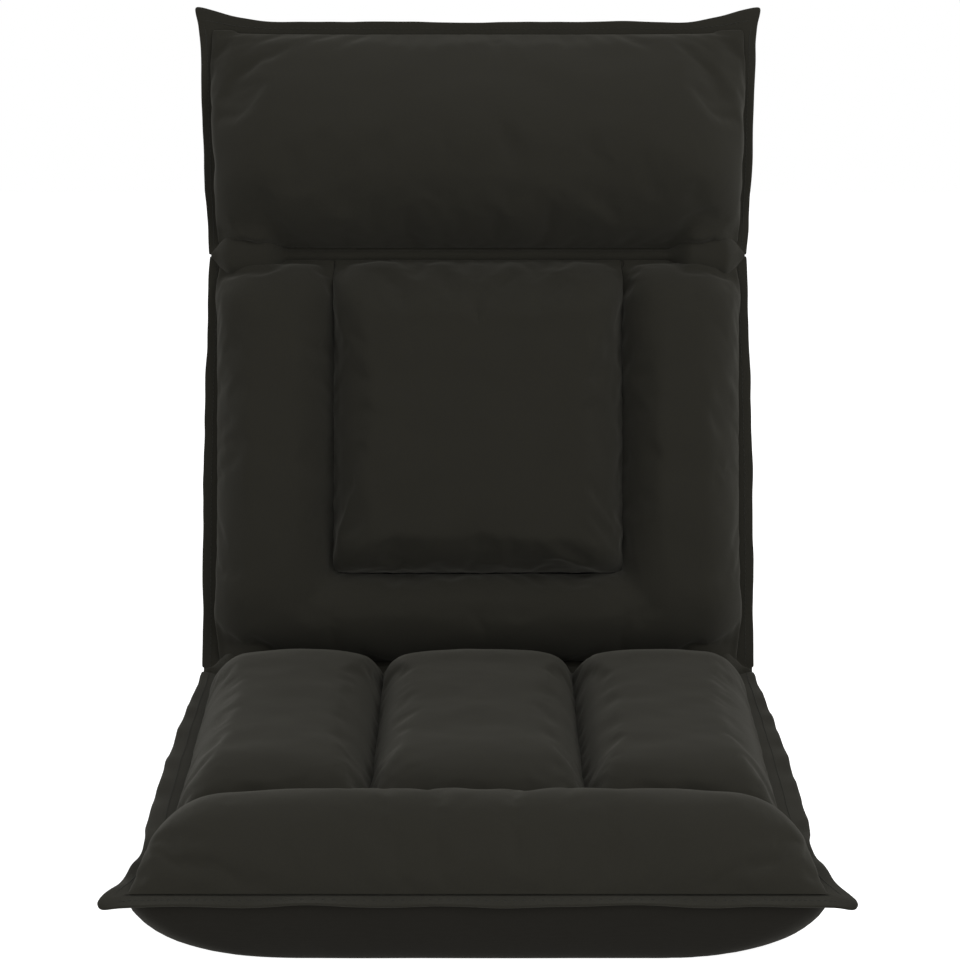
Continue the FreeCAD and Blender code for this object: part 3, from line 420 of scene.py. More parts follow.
def pillow():
    """The headrest's one big pillow, fullest over the neck and thin towards its top flange."""
    crown = 0.0739
    high_y = TOP - 0.013

    def height(x, y):
        left, right = head_edges(y)
        across = round_edge(min(x - left, right - x), 0.060)
        dome = 1 - 0.10 * (x / right) ** 2
        low = from_fold(y - NECK - fold_room(x), 0.064, x)
        high = rise(high_y - y, 0.138)
        return crown * across * dome * low * high - HEM

    piece = pad_blank("head_pillow_cover", NECK + END_GAP, high_y, head_edges, height, 90, 50)
    for vertex in piece.data.vertices:
        near_top = min(max((vertex.co.y - TOP + 0.075) / 0.062, 0.0), 1.0)
        at_side = abs(vertex.co.x) / HALF
        vertex.co.y += near_top * (0.003 + 0.009 * at_side**10)
        vertex.co.x *= 1 + 0.012 * near_top * at_side**6
    return soften(piece, 0.005, 0.005)


# Sewn edges


def along_points(marks):
    """A smooth line through (share, point) marks, read by its share."""
    places = [(share, Vector(point)) for share, point in marks]

    def slope(number):
        before, after = places[max(number - 1, 0)], places[min(number + 1, len(places) - 1)]
        return (after[1] - before[1]) / max(after[0] - before[0], 1e-6)

    def at(share):
        share = min(max(share, places[0][0]), places[-1][0])
        number = max(n for n in range(len(places) - 1) if places[n][0] <= share)
        (start, first), (end, last) = places[number], places[number + 1]
        span = end - start
        t = (share - start) / span
        return (
            first * (2 * t**3 - 3 * t**2 + 1)
            + slope(number) * span * (t**3 - 2 * t**2 + t)
            + last * (3 * t**2 - 2 * t**3)
            + slope(number + 1) * span * (t**3 - t**2)
        )

    return at


def mirror_marks(marks):
    """The marks on to the middle, and then the same on the other side."""
    return marks + [(1 - share, (-x, y, z)) for share, (x, y, z) in reversed(marks) if share < 0.5]


def strip_surface(inner, outer, ripple, seed):
    """A flange's surface by its share along and across, its free edge rippled."""
    drawn = random.Random(seed)
    phases = [drawn.uniform(0, 6.28) for _ in range(5)]
    length = sum((outer((n + 1) / 80) - outer(n / 80)).length for n in range(80))

    def at(along, across):
        start, end = inner(along), outer(along)
        run = along * length
        drift = noise.noise(Vector((run * 14, seed, 0)))
        long_wave = math.sin(run * 43 + phases[1] - 2 * drift)
        short_wave = math.sin(run * 96 + phases[0] + 3 * drift)
        uneven = noise.noise(Vector((run * 30, seed, 5)))
        wave = 0.5 * (short_wave + 0.9 * long_wave) + 1.2 * uneven
        nibble = 0.0006 * noise.noise(Vector((run * 45, seed, 9))) + 0.0004 * math.sin(run * 71 + phases[3])
        point = start.lerp(end, across) + (end - start).normalized() * nibble * across
        return point + Vector((0, 0, ripple * wave * across * across))

    return at, length


def edge_strip(name, surface, length, thick_at):
    """Two layers of cover stitched flat: a rippled sheet given its thickness and a turned edge."""
    piece = grid_sheet(name, int(length / 0.0035), 6)
    layers = piece.vertex_groups.new(name="layers")
    for vertex in piece.data.vertices:
        along, across = vertex.co.x + 0.5, vertex.co.y + 0.5
        vertex.co = surface(along, across)
        layers.add([vertex.index], thick_at(along, across), "REPLACE")
    wall = piece.modifiers.new("layers", "SOLIDIFY")
    wall.thickness = EDGE_LAYERS
    wall.offset = 0
    wall.vertex_group = "layers"
    wall.thickness_vertex_group = 0.0
    apply_modifiers(piece)
    point_outwards(piece)
    subdivided(piece)
    shade(piece, 50)
    return piece


def stitch_line(name, surface, length):
    """A row of stitches lying in the flange: one stitch, copied along the row."""
    bpy.ops.object.select_all(action="DESELECT")
    bpy.ops.mesh.primitive_uv_sphere_add(segments=8, ring_count=6, radius=1)
    one = bpy.context.active_object
    half_length, half_width, half_height = STITCH_HALVES
    for vertex in one.data.vertices:
        x, y, z = vertex.co
        vertex.co = (x * half_length, y * half_width, (z - 0.25 * x * x) * half_height)
    copies = []
    count = int(length / STITCH_PITCH)
    for number in range(count):
        share = (number + 0.5) / count
        here = surface(share, STITCHED_AT)
        ahead = surface(min(share + 0.002, 1.0), STITCHED_AT)
        behind = surface(max(share - 0.002, 0.0), STITCHED_AT)
        run = (ahead - behind).normalized()
        side = Vector((0, 0, 1)).cross(run).normalized()
        up = run.cross(side)
        copy = bpy.data.objects.new("stitch", one.data.copy())
        bpy.context.scene.collection.objects.link(copy)
        turn = Matrix((run, side, up)).transposed().to_4x4()
        copy.data.transform(Matrix.Translation(here + up * 0.00105) @ turn)
        copies.append(copy)
    bpy.data.objects.remove(one)
    bpy.ops.object.select_all(action="DESELECT")
    for copy in copies:
        copy.select_set(True)
    bpy.context.view_layer.objects.active = copies[0]
    bpy.ops.object.join()
    row = bpy.context.active_object
    row.name = name
    row.data.name = name
    shade(row, 180)
    return row


SEAT_OUTER = mirror_marks(
    [
        (0.0, (0.2600, 0.2470, PLANE)),
        (0.13, (0.2640, 0.0750, PLANE)),
        (0.26, (0.2625, -0.1050, PLANE)),
        (0.295, (0.2585, -0.1470, PLANE)),
        (0.325, (0.2625, -0.1820, PLANE)),
        (0.352, (0.2680, -0.2150, PLANE)),
        (0.378, (0.2780, -0.2480, PLANE)),
        (0.386, (0.2740, -0.2560, PLANE - 0.001)),
        (0.396, (0.2600, -0.2530, PLANE - 0.001)),
        (0.430, (0.1900, -0.2510, PLANE - 0.0015)),
        (0.465, (0.0900, -0.2510, PLANE - 0.0015)),
        (0.5, (0.0, -0.2510, PLANE - 0.0015)),
    ]
)
SEAT_INNER = mirror_marks(
    [
        (0.0, (0.2430, 0.2470, PLANE)),
        (0.13, (0.2370, 0.0750, PLANE)),
        (0.26, (0.2310, -0.1050, PLANE)),
        (0.295, (0.2300, -0.1400, PLANE)),
        (0.325, (0.2360, -0.1720, PLANE)),
        (0.352, (0.2450, -0.2030, PLANE)),
        (0.378, (0.2560, -0.2330, PLANE)),
        (0.386, (0.2540, -0.2350, PLANE)),
        (0.396, (0.2440, -0.2345, PLANE)),
        (0.430, (0.1850, -0.2340, PLANE)),
        (0.465, (0.0900, -0.2340, PLANE)),
        (0.5, (0.0, -0.2340, PLANE)),
    ]
)
HEAD_OUTER = mirror_marks(
    [
        (0.0, (0.2535, NECK + 0.0006, PLANE)),
        (0.12, (0.2590, NECK + 0.090, PLANE)),
        (0.22, (0.2620, TOP - 0.030, PLANE)),
        (0.255, (0.2640, TOP - 0.004, PLANE)),
        (0.272, (0.2670, TOP + 0.012, PLANE)),
        (0.279, (0.2630, TOP + 0.0135, PLANE)),
        (0.292, (0.2500, TOP + 0.0105, PLANE)),
        (0.312, (0.2270, TOP + 0.0045, PLANE)),
        (0.340, (0.1950, TOP - 0.0005, PLANE)),
        (0.40, (0.1200, TOP, PLANE)),
        (0.5, (0.0, TOP - 0.001, PLANE)),
    ]
)
HEAD_INNER = mirror_marks(
    [
        (0.0, (0.2420, NECK + 0.0006, PLANE)),
        (0.12, (0.2440, NECK + 0.085, PLANE)),
        (0.22, (0.2470, TOP - 0.040, PLANE)),
        (0.255, (0.2480, TOP - 0.020, PLANE)),
        (0.272, (0.2480, TOP - 0.017, PLANE)),
        (0.279, (0.2470, TOP - 0.0165, PLANE)),
        (0.292, (0.2420, TOP - 0.016, PLANE)),
        (0.312, (0.2260, TOP - 0.016, PLANE)),
        (0.40, (0.1180, TOP - 0.016, PLANE)),
        (0.5, (0.0, TOP - 0.016, PLANE)),
    ]
)


def seat_thick(along, across):
    """Doubled over at the two ears at the front."""
    ear = smooth(1 - min(abs(along - 0.381), abs(along - 0.619)) / 0.012)
    return mix(0.45, 1.0, ear * across)


def head_thick(along, across):
    """Doubled over at the two ears at the top."""
    ear = smooth(1 - min(abs(along - 0.272), abs(along - 0.728)) / 0.022)
    return mix(0.45, 0.9, ear * across)


def plain_thick(along, across):
    """One thickness all along, on the back's two flanges."""
    return 0.45


def back_marks(side, inset):
    """The back's side flange, by its marks at an inset from its free edge."""
    low, high = FOLD + END_GAP, NECK - 0.0006
    edge = 0.260 - inset
    return [
        (0.0, (side * edge, low, PLANE)),
        (0.5, (side * (edge - 0.001), (low + high) / 2, PLANE)),
        (1.0, (side * (edge - 0.0065), high, PLANE)),
    ]


# Lower covers and fold sleeves


def ring_point(share, half, low_y, high_y, radius):
    """A point round a rectangle with round corners, by its share of the way round."""
    straight_x, straight_y = 2 * (half - radius), high_y - low_y - 2 * radius
    quarter = math.pi * radius / 2
    spans = [straight_y, quarter, straight_x, quarter, straight_y, quarter, straight_x, quarter]
    left = share * sum(spans)
    corners = [
        (half - radius, high_y - radius),
        (-half + radius, high_y - radius),
        (-half + radius, low_y + radius),
        (half - radius, low_y + radius),
    ]
    starts = [
        (half, low_y + radius, 0, 1),
        (half - radius, high_y, -1, 0),
        (-half, high_y - radius, 0, -1),
        (-half + radius, low_y, 1, 0),
    ]
    for number in range(4):
        x, y, run_x, run_y = starts[number]
        if left <= spans[2 * number]:
            return x + run_x * left, y + run_y * left
        left -= spans[2 * number]
        if left <= quarter:
            angle = left / radius + number * math.pi / 2
            center = corners[number]
            return center[0] + radius * math.cos(angle), center[1] + radius * math.sin(angle)
        left -= quarter
    return starts[0][0], starts[0][1]


def seat_flare(y):
    """How the seat's lower cover narrows to the roll's seam and is drawn out at its front corners."""
    at_seam, at_corner, run = 0.965, 1.052, 0.108
    if y > ROLL_SEAM:
        return mix(1.0, at_seam, (FOLD - y) / (FOLD - ROLL_SEAM))
    return mix(at_seam, at_corner, smooth((ROLL_SEAM - y) / run))


def plain_flare(y):
    """The other lower covers keep their width."""
    return 1.0


def lower_cover(name, low_y, high_y, low_z, flare, seed):
    """A boat-shaped cover, flat below, its sides drawn up to the flange, with an open top."""
    around, up_steps = 220, 14
    piece = grid_sheet(name, around, up_steps)
    bulge, floor_corner, rim_corner = 0.016, 0.110, 0.012
    corner_limit = 0.45 * (high_y - low_y - 2 * bulge)
    for vertex in piece.data.vertices:
        share, up = vertex.co.x + 0.5, vertex.co.y + 0.5
        level = mix(low_z, FLANGE_LOW - 0.0002, up**1.7)
        shrink = bulge * (1 - up) ** 2 + 0.0005
        radius = min(mix(floor_corner, rim_corner, up**0.9), corner_limit)
        x, y = ring_point(share, HALF - shrink, low_y + shrink, high_y - shrink, radius)
        widen = mix(1.0, flare(y), 0.35 + 0.65 * up)
        crease = noise.noise(Vector((x * 18, y * 18, level * 30 + seed)))
        pucker = noise.noise(Vector((x * 70, y * 70, seed * 3.7)))
        out = (0.0010 * crease + 0.0006 * pucker * up) * min(1.0, 6 * up) * min(1.0, 6 * (1 - up))
        vertex.co = (x * widen * (1 + out / HALF), y + out * (1 if y > 0 else -1), level)
    point_outwards(piece)
    bpy.ops.object.mode_set(mode="EDIT")
    bpy.ops.mesh.select_all(action="DESELECT")
    bpy.ops.object.mode_set(mode="OBJECT")
    for edge in piece.data.edges:
        ends = [piece.data.vertices[n].co.z for n in edge.vertices]
        edge.select = max(ends) < low_z + 0.0001
    bpy.ops.object.mode_set(mode="EDIT")
    bpy.ops.mesh.select_mode(type="EDGE")
    bpy.ops.mesh.edge_face_add()
    bpy.ops.object.mode_set(mode="OBJECT")
    point_outwards(piece)
    wall = piece.modifiers.new("cover", "SOLIDIFY")
    wall.thickness = LOWER_WALL
    wall.offset = -1
    apply_modifiers(piece)
    shade(piece, 60)
    return piece


def fold_sleeve(name, axis_y, after, place, half):
    """The sewn fold: a sleeve of cover over the hinges, thin between them, with a lip to each section.

    Its section runs from the lip on the near side over the fold to the lip on the far side, which
    leaves at the angle after, and back below the fold.
    """
    lip, thin, narrow, swollen = 0.017, 0.0009, 0.0052, 0.0246
    near_lip, over, far_lip, under = 0.06, 0.42, 0.54, 0.94
    near = math.pi
    shift = random.Random(7).uniform(0, 50)
    piece = grid_sheet(name, 200, 34)
    for vertex in piece.data.vertices:
        x = vertex.co.x * 2 * half
        around = vertex.co.y + 0.5
        at_end = 0.35 + 0.65 * round_edge(half - abs(x), 0.012)
        radius = mix(narrow, swollen, hinge_bulge(x)) * at_end
        opening = math.asin(min(thin / radius, 1.0))
        if around < near_lip:
            y, z = -mix(lip, radius, around / near_lip), thin
        elif around < over:
            angle = mix(near - opening, after + opening, (around - near_lip) / (over - near_lip))
            y, z = radius * math.cos(angle), radius * math.sin(angle)
        elif around < far_lip:
            share = (around - over) / (far_lip - over)
            if share < 0.5:
                along, side = mix(radius, lip, min(share * 2.2, 1.0)), thin
            else:
                along, side = mix(lip, radius, (share - 0.5) * 2), -thin
            y = along * math.cos(after) - side * math.sin(after)
            z = along * math.sin(after) + side * math.cos(after)
        elif around < under:
            share = (around - far_lip) / (under - far_lip)
            angle = mix(after - opening, near + opening - 2 * math.pi, share)
            y, z = radius * math.cos(angle), radius * math.sin(angle)
        else:
            y, z = -mix(radius, lip, (around - under) / (1 - under)), -thin
        wrinkle = 1 + 0.05 * noise.noise(Vector((x * 55 + shift, y * 160, z * 160)))
        vertex.co = (x, axis_y + y * wrinkle, PLANE + z * wrinkle)
    point_outwards(piece)
    place_mesh(piece, place)
    subdivided(piece)
    shade(piece, 60)
    return piece


def foam_block(node, name):
    """A foam layer: the solid's form with its cut edges eased, a little smaller than its cover."""
    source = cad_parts[node]
    piece = bpy.data.objects.new(name, source.data.copy())
    bpy.context.scene.collection.objects.link(piece)
    piece.data.materials.clear()
    remeshed(piece, 0.005)
    eased(piece, 3)
    places = [vertex.co for vertex in piece.data.vertices]
    middle = sum(places, Vector()) / len(places)
    for vertex in piece.data.vertices:
        vertex.co = middle + (vertex.co - middle) * 0.94
    shade(piece, 60)
    return piece


# Finishes


def finish_group(name, inputs):
    """A node group with its inputs, which puts out a colour, a roughness and a normal."""
    tree = bpy.data.node_groups.new(name, "ShaderNodeTree")
    for label, (kind, value) in inputs.items():
        made = tree.interface.new_socket(name=label, in_out="INPUT", socket_type=f"NodeSocket{kind}")
        made.default_value = value
    for label, kind in (("Colour", "Color"), ("Roughness", "Float"), ("Normal", "Vector")):
        tree.interface.new_socket(name=label, in_out="OUTPUT", socket_type=f"NodeSocket{kind}")
    return tree, tree.nodes.new("NodeGroupInput").outputs


def put_out(tree, colour, roughness, normal):
    result = tree.nodes.new("NodeGroupOutput").inputs
    tree.links.new(colour, result["Colour"])
    tree.links.new(roughness, result["Roughness"])
    tree.links.new(normal, result["Normal"])


def wired(tree, kind, settings=None, **inputs):
    """A node with its settings, its inputs set to values or linked to sockets. i0 is its first input."""
    node = tree.nodes.new(kind)
    for key, value in (settings or {}).items():
        setattr(node, key, value)
    for key, value in inputs.items():
        numbered = key[0] == "i" and key[1:].isdigit()
        target = node.inputs[int(key[1:])] if numbered else node.inputs[key]
        if isinstance(value, bpy.types.NodeSocket):
            tree.links.new(value, target)
        else:
            target.default_value = value
    return node


def maths(tree, operation, *values):
    """What a Math node makes of its values."""
    inputs = {f"i{number}": value for number, value in enumerate(values)}
    return wired(tree, "ShaderNodeMath", {"operation": operation}, **inputs).outputs[0]


def mottle(tree, spot, scale, detail, distortion=0.0):
    """A noise over the surface."""
    texture = wired(
        tree, "ShaderNodeTexNoise", Vector=spot, Scale=scale, Detail=detail, Distortion=distortion
    )
    return texture.outputs["Fac"]


def threads(tree, spot, way, pitch):
    """Threads running one way, as one half of a weave."""
    settings = {"bands_direction": way}
    texture = wired(tree, "ShaderNodeTexWave", settings, Vector=spot, Scale=pitch, Distortion=0.6)
    return texture.outputs["Fac"]


def ranged(tree, value, **ends):
    """A value brought into another range."""
    return wired(tree, "ShaderNodeMapRange", Value=value, **ends).outputs[0]


def toned(tree, colour, strength):
    """A colour made lighter or darker."""
    scaled = wired(tree, "ShaderNodeVectorMath", {"operation": "SCALE"}, i0=colour, Scale=strength)
    return scaled.outputs[0]


def relief(tree, height, depth, strength):
    """The normal of a surface with fine relief."""
    return wired(tree, "ShaderNodeBump", Strength=strength, Distance=depth, Height=height).outputs[0]


def cloth_group():
    """Brushed microfibre: a fine plain weave under a soft nap, with slow shifts of tone."""
    inputs = {
        "Colour": ("Color", (0.03, 0.03, 0.024, 1)),
        "Tone shift": ("Float", 0.10),
        "Weave pitch": ("Float", 700.0),
        "Weave depth": ("Float", 0.3),
        "Nap depth": ("Float", 0.3),
        "Dryness": ("Float", 0.85),
        "Lay": ("Vector", (0, 0, 0)),
    }
    tree, given = finish_group("brushed_cloth", inputs)
    place = wired(tree, "ShaderNodeTexCoord").outputs["Object"]
    euler = {"rotation_type": "EULER_XYZ"}
    laid = wired(tree, "ShaderNodeVectorRotate", euler, Vector=place, Rotation=given["Lay"])
    spot = laid.outputs["Vector"]
    warp = threads(tree, spot, "X", given["Weave pitch"])
    weft = threads(tree, spot, "Y", given["Weave pitch"])
    nap = mottle(tree, spot, 520.0, 3.0)
    stroked = mottle(tree, spot, 11.0, 2.0, 0.8)
    patchy = mottle(tree, spot, 46.0, 3.0)
    woven = maths(tree, "MULTIPLY", maths(tree, "MAXIMUM", warp, weft), given["Weave depth"])
    fuzzy = maths(tree, "MULTIPLY", nap, given["Nap depth"])
    height = maths(tree, "ADD", woven, fuzzy)
    centred = maths(tree, "SUBTRACT", maths(tree, "ADD", stroked, patchy), 1.0)
    lifted = maths(tree, "ADD", maths(tree, "MULTIPLY", centred, given["Tone shift"]), 1.0)
    fibre = ranged(tree, nap, **{"To Min": 0.9, "To Max": 1.1})
    colour = toned(tree, given["Colour"], maths(tree, "MULTIPLY", lifted, fibre))
    roughness = maths(tree, "MULTIPLY_ADD", patchy, 0.10, given["Dryness"])
    put_out(tree, colour, roughness, relief(tree, height, 0.00025, 0.5))
    return tree


def metal_group():
    """Rolled and tumbled sheet steel: fine scratches and slight stains."""
    inputs = {
        "Colour": ("Color", (0.5, 0.5, 0.5, 1)),
        "Stain": ("Color", (0.3, 0.28, 0.25, 1)),
        "Polish": ("Float", 0.35),
        "Scratch depth": ("Float", 0.2),
        "Grain": ("Vector", (900.0, 60.0, 60.0)),
    }
    tree, given = finish_group("worked_metal", inputs)
    place = wired(tree, "ShaderNodeTexCoord").outputs["Object"]
    drawn = wired(tree, "ShaderNodeVectorMath", {"operation": "MULTIPLY"}, i0=place, i1=given["Grain"])
    scratch = mottle(tree, drawn.outputs[0], 1.0, 4.0)
    cloud = mottle(tree, place, 60.0, 3.0)
    stained = ranged(tree, cloud, **{"From Min": 0.5, "From Max": 0.8, "To Max": 0.6})
    colour = wired(
        tree, "ShaderNodeMix", {"data_type": "RGBA"}, i0=stained, i6=given["Colour"], i7=given["Stain"]
    )
    roughness = maths(tree, "MULTIPLY_ADD", scratch, 0.22, given["Polish"])
    put_out(tree, colour.outputs[2], roughness, relief(tree, scratch, 0.0001, given["Scratch depth"]))
    return tree


def foam_group():
    """Open-cell foam: small open cells in cream, the cream darkened as painted shade where the cell relief
    sinks.
    """
    inputs = {
        "Colour": ("Color", (0.75, 0.7, 0.55, 1)),
        "Cell scale": ("Float", 900.0),
    }
    tree, given = finish_group("open_cells", inputs)
    place = wired(tree, "ShaderNodeTexCoord").outputs["Object"]
    cells = wired(tree, "ShaderNodeTexVoronoi", Vector=place, Scale=given["Cell scale"])
    pore_relief_and_shade = ranged(tree, cells.outputs["Distance"], **{"To Min": 1.0, "To Max": 0.6})
    roughness = maths(tree, "MULTIPLY_ADD", pore_relief_and_shade, -0.1, 1.0)
    # The cell relief also darkens the cream: painted shade in the hollows, besides the relief and the
    # roughness
    put_out(tree, toned(tree, given["Colour"], pore_relief_and_shade), roughness, relief(tree, pore_relief_and_shade, 0.0004, 0.5))
    return tree


def finish_of(name, group, values, shader_values):
    """A material: one group's colour, roughness and normal on a Principled shader."""
    material = bpy.data.materials.new(name)
    material.use_nodes = True
    tree = material.node_tree
    shader = next(node for node in tree.nodes if node.type == "BSDF_PRINCIPLED")
    placed = tree.nodes.new("ShaderNodeGroup")
    placed.node_tree = group
    for key, value in values.items():
        placed.inputs[key].default_value = value
    for key, value in shader_values.items():
        shader.inputs[key].default_value = value
    tree.links.new(placed.outputs["Colour"], shader.inputs["Base Color"])
    tree.links.new(placed.outputs["Roughness"], shader.inputs["Roughness"])
    tree.links.new(placed.outputs["Normal"], shader.inputs["Normal"])
    return material


CLOTH = cloth_group()
METAL = metal_group()
FOAM = foam_group()
COVER = (0.0180, 0.0170, 0.0128, 1)
LOWER = (0.0096, 0.0087, 0.0066, 1)
THREAD = (0.016, 0.016, 0.013, 1)

# The back's and the headrest's cloth stands up with them, and its weave with it
STOOD = {"Lay": (-RECLINE, 0, 0)}
SOFT_SHEEN = {
    "Sheen Weight": 0.10,
    "Sheen Roughness": 0.5,
    "Sheen Tint": (0.86, 0.84, 0.74, 1),
    "Specular IOR Level": 0.14,
}
NAPPED = {"Colour": COVER}
EDGING = {"Colour": COVER, "Weave depth": 0.5}
CANVAS = {"Colour": LOWER, "Weave depth": 0.6, "Weave pitch": 520.0}
TWISTED = {"Colour": THREAD, "Weave pitch": 2600.0}
STRAP = {"Colour": (0.05, 0.05, 0.05, 1), "Weave pitch": 160.0, "Weave depth": 1.0, "Dryness": 0.7}

seat_cloth = finish_of("seat_microfibre", CLOTH, NAPPED, SOFT_SHEEN)
back_cloth = finish_of("back_microfibre", CLOTH, {**NAPPED, **STOOD}, SOFT_SHEEN)
seat_edging = finish_of("seat_edging", CLOTH, EDGING, SOFT_SHEEN)
back_edging = finish_of("back_edging", CLOTH, {**EDGING, **STOOD}, SOFT_SHEEN)
seat_lower = finish_of("seat_lower_cloth", CLOTH, CANVAS, SOFT_SHEEN)
back_lower = finish_of("back_lower_cloth", CLOTH, {**CANVAS, **STOOD}, SOFT_SHEEN)
thread = finish_of("sewing_thread", CLOTH, TWISTED, {"Specular IOR Level": 0.4})
strap_cloth = finish_of("strap_weave", CLOTH, STRAP, {})
foam = finish_of("cut_foam", FOAM, {}, {"Subsurface Weight": 0.1})

SPRAYED = {
    "Colour": (0.025, 0.025, 0.027, 1),
    "Stain": (0.04, 0.038, 0.036, 1),
    "Polish": 0.32,
    "Grain": (700.0, 700.0, 700.0),
}
PRESSED = {
    "Colour": (0.55, 0.55, 0.56, 1),
    "Stain": (0.42, 0.40, 0.37, 1),
    "Polish": 0.28,
}
TURNED = {
    "Colour": (0.62, 0.62, 0.62, 1),
    "Stain": (0.5, 0.5, 0.48, 1),
    "Polish": 0.2,
    "Grain": (60.0, 900.0, 900.0),
}
BLUED = {
    "Colour": (0.10, 0.11, 0.14, 1),
    "Stain": (0.20, 0.16, 0.10, 1),
    "Polish": 0.25,
}
BARE = {"Metallic": 1.0}

tube_paint = finish_of("powder_coat", METAL, SPRAYED, {"Coat Weight": 0.15, "Coat Roughness": 0.3})
plate_steel = finish_of("pressed_steel", METAL, PRESSED, BARE)
pin_steel = finish_of("turned_pins", METAL, TURNED, BARE)
spring_steel = finish_of("blued_spring", METAL, BLUED, BARE)


# The chair's pieces


def dressed(piece, material, body, nodes=()):
    """Give a piece its material and body, and hide the nodes it stands for."""
    piece.data.materials.clear()
    piece.data.materials.append(material)
    if body:
        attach(piece, body)
    if nodes:
        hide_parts(*nodes)


def sewn_edge(names, lines, ripple, seed, thick_at, place, finish, body, node):
    """A flange with its row of stitches."""
    surface, length = strip_surface(along_points(lines[0]), along_points(lines[1]), ripple, seed)
    strip = edge_strip(names[0], surface, length, thick_at)
    place_mesh(strip, place)
    dressed(strip, finish, body, [node])
    row = stitch_line(names[1], surface, length)
    place_mesh(row, place)
    dressed(row, thread, body)


def make_seat():
    """Three channels, the roll, the flange and the lower cover."""
    bands = {
        "left": (-HALF, -CHANNEL_HALF + SEAM_LAP),
        "middle": (-CHANNEL_HALF - SEAM_LAP, CHANNEL_HALF + SEAM_LAP),
        "right": (CHANNEL_HALF - SEAM_LAP, HALF),
    }
    for side, (low, high) in bands.items():
        piece = seat_channel(f"channel_cover_{side}", low, high)
        inside = ["seat_foam"] if side == "middle" else []
        dressed(piece, seat_cloth, "seat", [f"seat_channel_{side}", *inside])
    dressed(front_roll(), seat_cloth, "seat", ["seat_front_roll"])
    names, lines = ("seat_edge", "seat_edge_stitches"), (SEAT_INNER, SEAT_OUTER)
    sewn_edge(names, lines, 0.0014, 3, seat_thick, LAID, seat_edging, "seat", "seat_flange")
    cover = lower_cover("seat_lower_cover", FRONT + 0.002, FOLD - END_GAP, 0.0, seat_flare, 1)
    dressed(cover, seat_lower, "seat", ["seat_base_cover"])


def make_back():
    """The surround, the square pad, two side flanges and the rear cover."""
    piece = surround()
    place_mesh(piece, STAND)
    dressed(piece, back_cloth, "back", ["back_surround_pad"])
    piece = square_pad()
    place_mesh(piece, STAND)
    dressed(piece, back_cloth, "back", ["back_center_pad", "back_foam"])
    for name, side in (("left", -1), ("right", 1)):
        names = (f"back_edge_{name}", f"back_stitches_{name}")
        lines = (back_marks(side, 0.018), back_marks(side, 0))
        sewn_edge(names, lines, 0.0007, 11 + side, plain_thick, STAND, back_edging, "back", "back_flange")
    cover = lower_cover("back_lower_cover", FOLD + END_GAP, NECK - END_GAP, 0.001, plain_flare, 2)
    place_mesh(cover, STAND)
    dressed(cover, back_lower, "back", ["back_rear_cover"])


def make_head():
    """The pillow, its flange and its rear cover."""
    piece = pillow()
    place_mesh(piece, STAND)
    dressed(piece, back_cloth, "head", ["head_pillow", "head_foam"])
    names, lines = ("head_edge", "head_edge_stitches"), (HEAD_INNER, HEAD_OUTER)
    sewn_edge(names, lines, 0.0007, 5, head_thick, STAND, back_edging, "head", "head_flange")
    cover = lower_cover("head_lower_cover", NECK + END_GAP, TOP - 0.011, 0.001, plain_flare, 3)
    place_mesh(cover, STAND)
    dressed(cover, back_lower, "head", ["head_rear_cover"])


def make_folds():
    """The sleeves over the hinges at the waist and the neck, each laid across its fold."""
    sleeve = fold_sleeve("waist_sleeve", FOLD, RECLINE, LAID, 0.2585)
    dressed(sleeve, seat_edging, None, ["waist_web"])
    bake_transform(sleeve)
    sleeve = fold_sleeve("neck_sleeve", NECK, 0.0, STAND, 0.2515)
    dressed(sleeve, back_edging, None, ["neck_web"])
    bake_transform(sleeve)


def make_foam():
    """The three foams inside the lower covers."""
    layers = {"seat_base_foam": "seat", "back_rear_foam": "back", "head_rear_foam": "head"}
    for node, body in layers.items():
        piece = foam_block(node, f"{node}_block")
        dressed(piece, foam, body, [node])


def finish_frame():
    """Materials for the nodes that stay as they are."""
    for name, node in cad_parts.items():
        if node.hide_render:
            continue
        if "webbing" in name:
            material = strap_cloth
        elif any(word in name for word in ("tube", "bar", "rail")):
            material = tube_paint
        elif any(word in name for word in ("pins", "rivets")):
            material = pin_steel
        elif "springs" in name:
            material = spring_steel
        else:
            material = plate_steel
        node.data.materials.clear()
        node.data.materials.append(material)


# Floor, light and camera


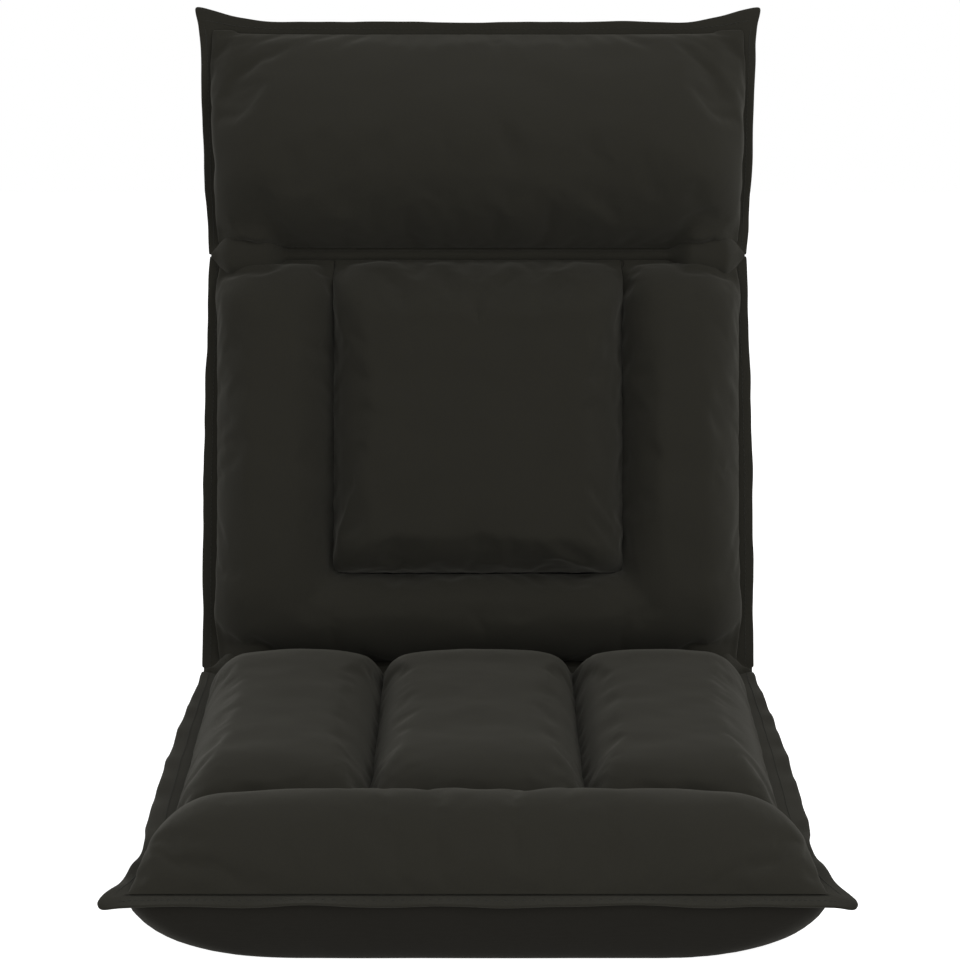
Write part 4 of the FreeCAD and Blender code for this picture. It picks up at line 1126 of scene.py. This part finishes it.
def make_stage():
    """A pale floor with soft shade on it, which the camera sees as near white."""
    bpy.ops.object.select_all(action="DESELECT")
    bpy.ops.mesh.primitive_plane_add(size=8, location=(0, 0, -0.0004))
    floor = bpy.context.active_object
    floor.name = "floor"
    material = bpy.data.materials.new("pale_floor")
    material.use_nodes = True
    tree = material.node_tree
    tree.nodes.clear()
    paths = wired(tree, "ShaderNodeLightPath").outputs
    matte = wired(tree, "ShaderNodeBsdfDiffuse", Color=(0.8, 0.8, 0.8, 1))
    glow = wired(tree, "ShaderNodeEmission", Strength=maths(tree, "MULTIPLY", paths["Is Camera Ray"], 0.93))
    both = wired(tree, "ShaderNodeAddShader", i0=matte.outputs[0], i1=glow.outputs[0])
    wired(tree, "ShaderNodeOutputMaterial", Surface=both.outputs[0])
    floor.data.materials.append(material)


def make_light():
    """An even room that the camera and reflections see as white, and three soft lamps."""
    world = bpy.data.worlds.new("studio")
    bpy.context.scene.world = world
    world.use_nodes = True
    tree = world.node_tree
    tree.nodes.clear()
    paths = wired(tree, "ShaderNodeLightPath").outputs
    room = wired(tree, "ShaderNodeBackground", Strength=0.44)
    white = wired(tree, "ShaderNodeBackground", Color=(1, 1, 1, 1), Strength=1.0)
    either = maths(tree, "MAXIMUM", paths["Is Camera Ray"], paths["Is Glossy Ray"])
    chosen = wired(tree, "ShaderNodeMixShader", i0=either, i1=room.outputs[0], i2=white.outputs[0])
    wired(tree, "ShaderNodeOutputWorld", Surface=chosen.outputs[0])
    for name, place, size, power in (
        ("key", (1.3, -1.2, 2.0), 1.4, 28),
        ("fill", (-0.7, -2.3, 0.7), 1.6, 19),
        ("top", (0.0, 0.6, 2.6), 1.6, 4),
    ):
        lamp = bpy.data.lights.new(name, "AREA")
        lamp.size = size
        lamp.energy = power
        placed = bpy.data.objects.new(name, lamp)
        placed.location = place
        aim = Vector((0, 0.15, 0.25)) - placed.location
        placed.rotation_euler = aim.to_track_quat("-Z", "Y").to_euler()
        bpy.context.scene.collection.objects.link(placed)


def make_camera():
    """The view as fitted to the photograph's outline."""
    lens = bpy.data.cameras.new("view")
    lens.lens = 84.9
    lens.sensor_width = 36
    camera = bpy.data.objects.new("view", lens)
    camera.location = (0.0019, -1.767, 0.776)
    camera.rotation_euler = (math.radians(75.1), 0, 0)
    bpy.context.scene.collection.objects.link(camera)
    bpy.context.scene.camera = camera


make_camera()
make_light()
make_stage()
make_seat()
make_back()
make_head()
make_folds()
make_foam()
finish_frame()
bpy.context.scene.view_settings.view_transform = "Standard"
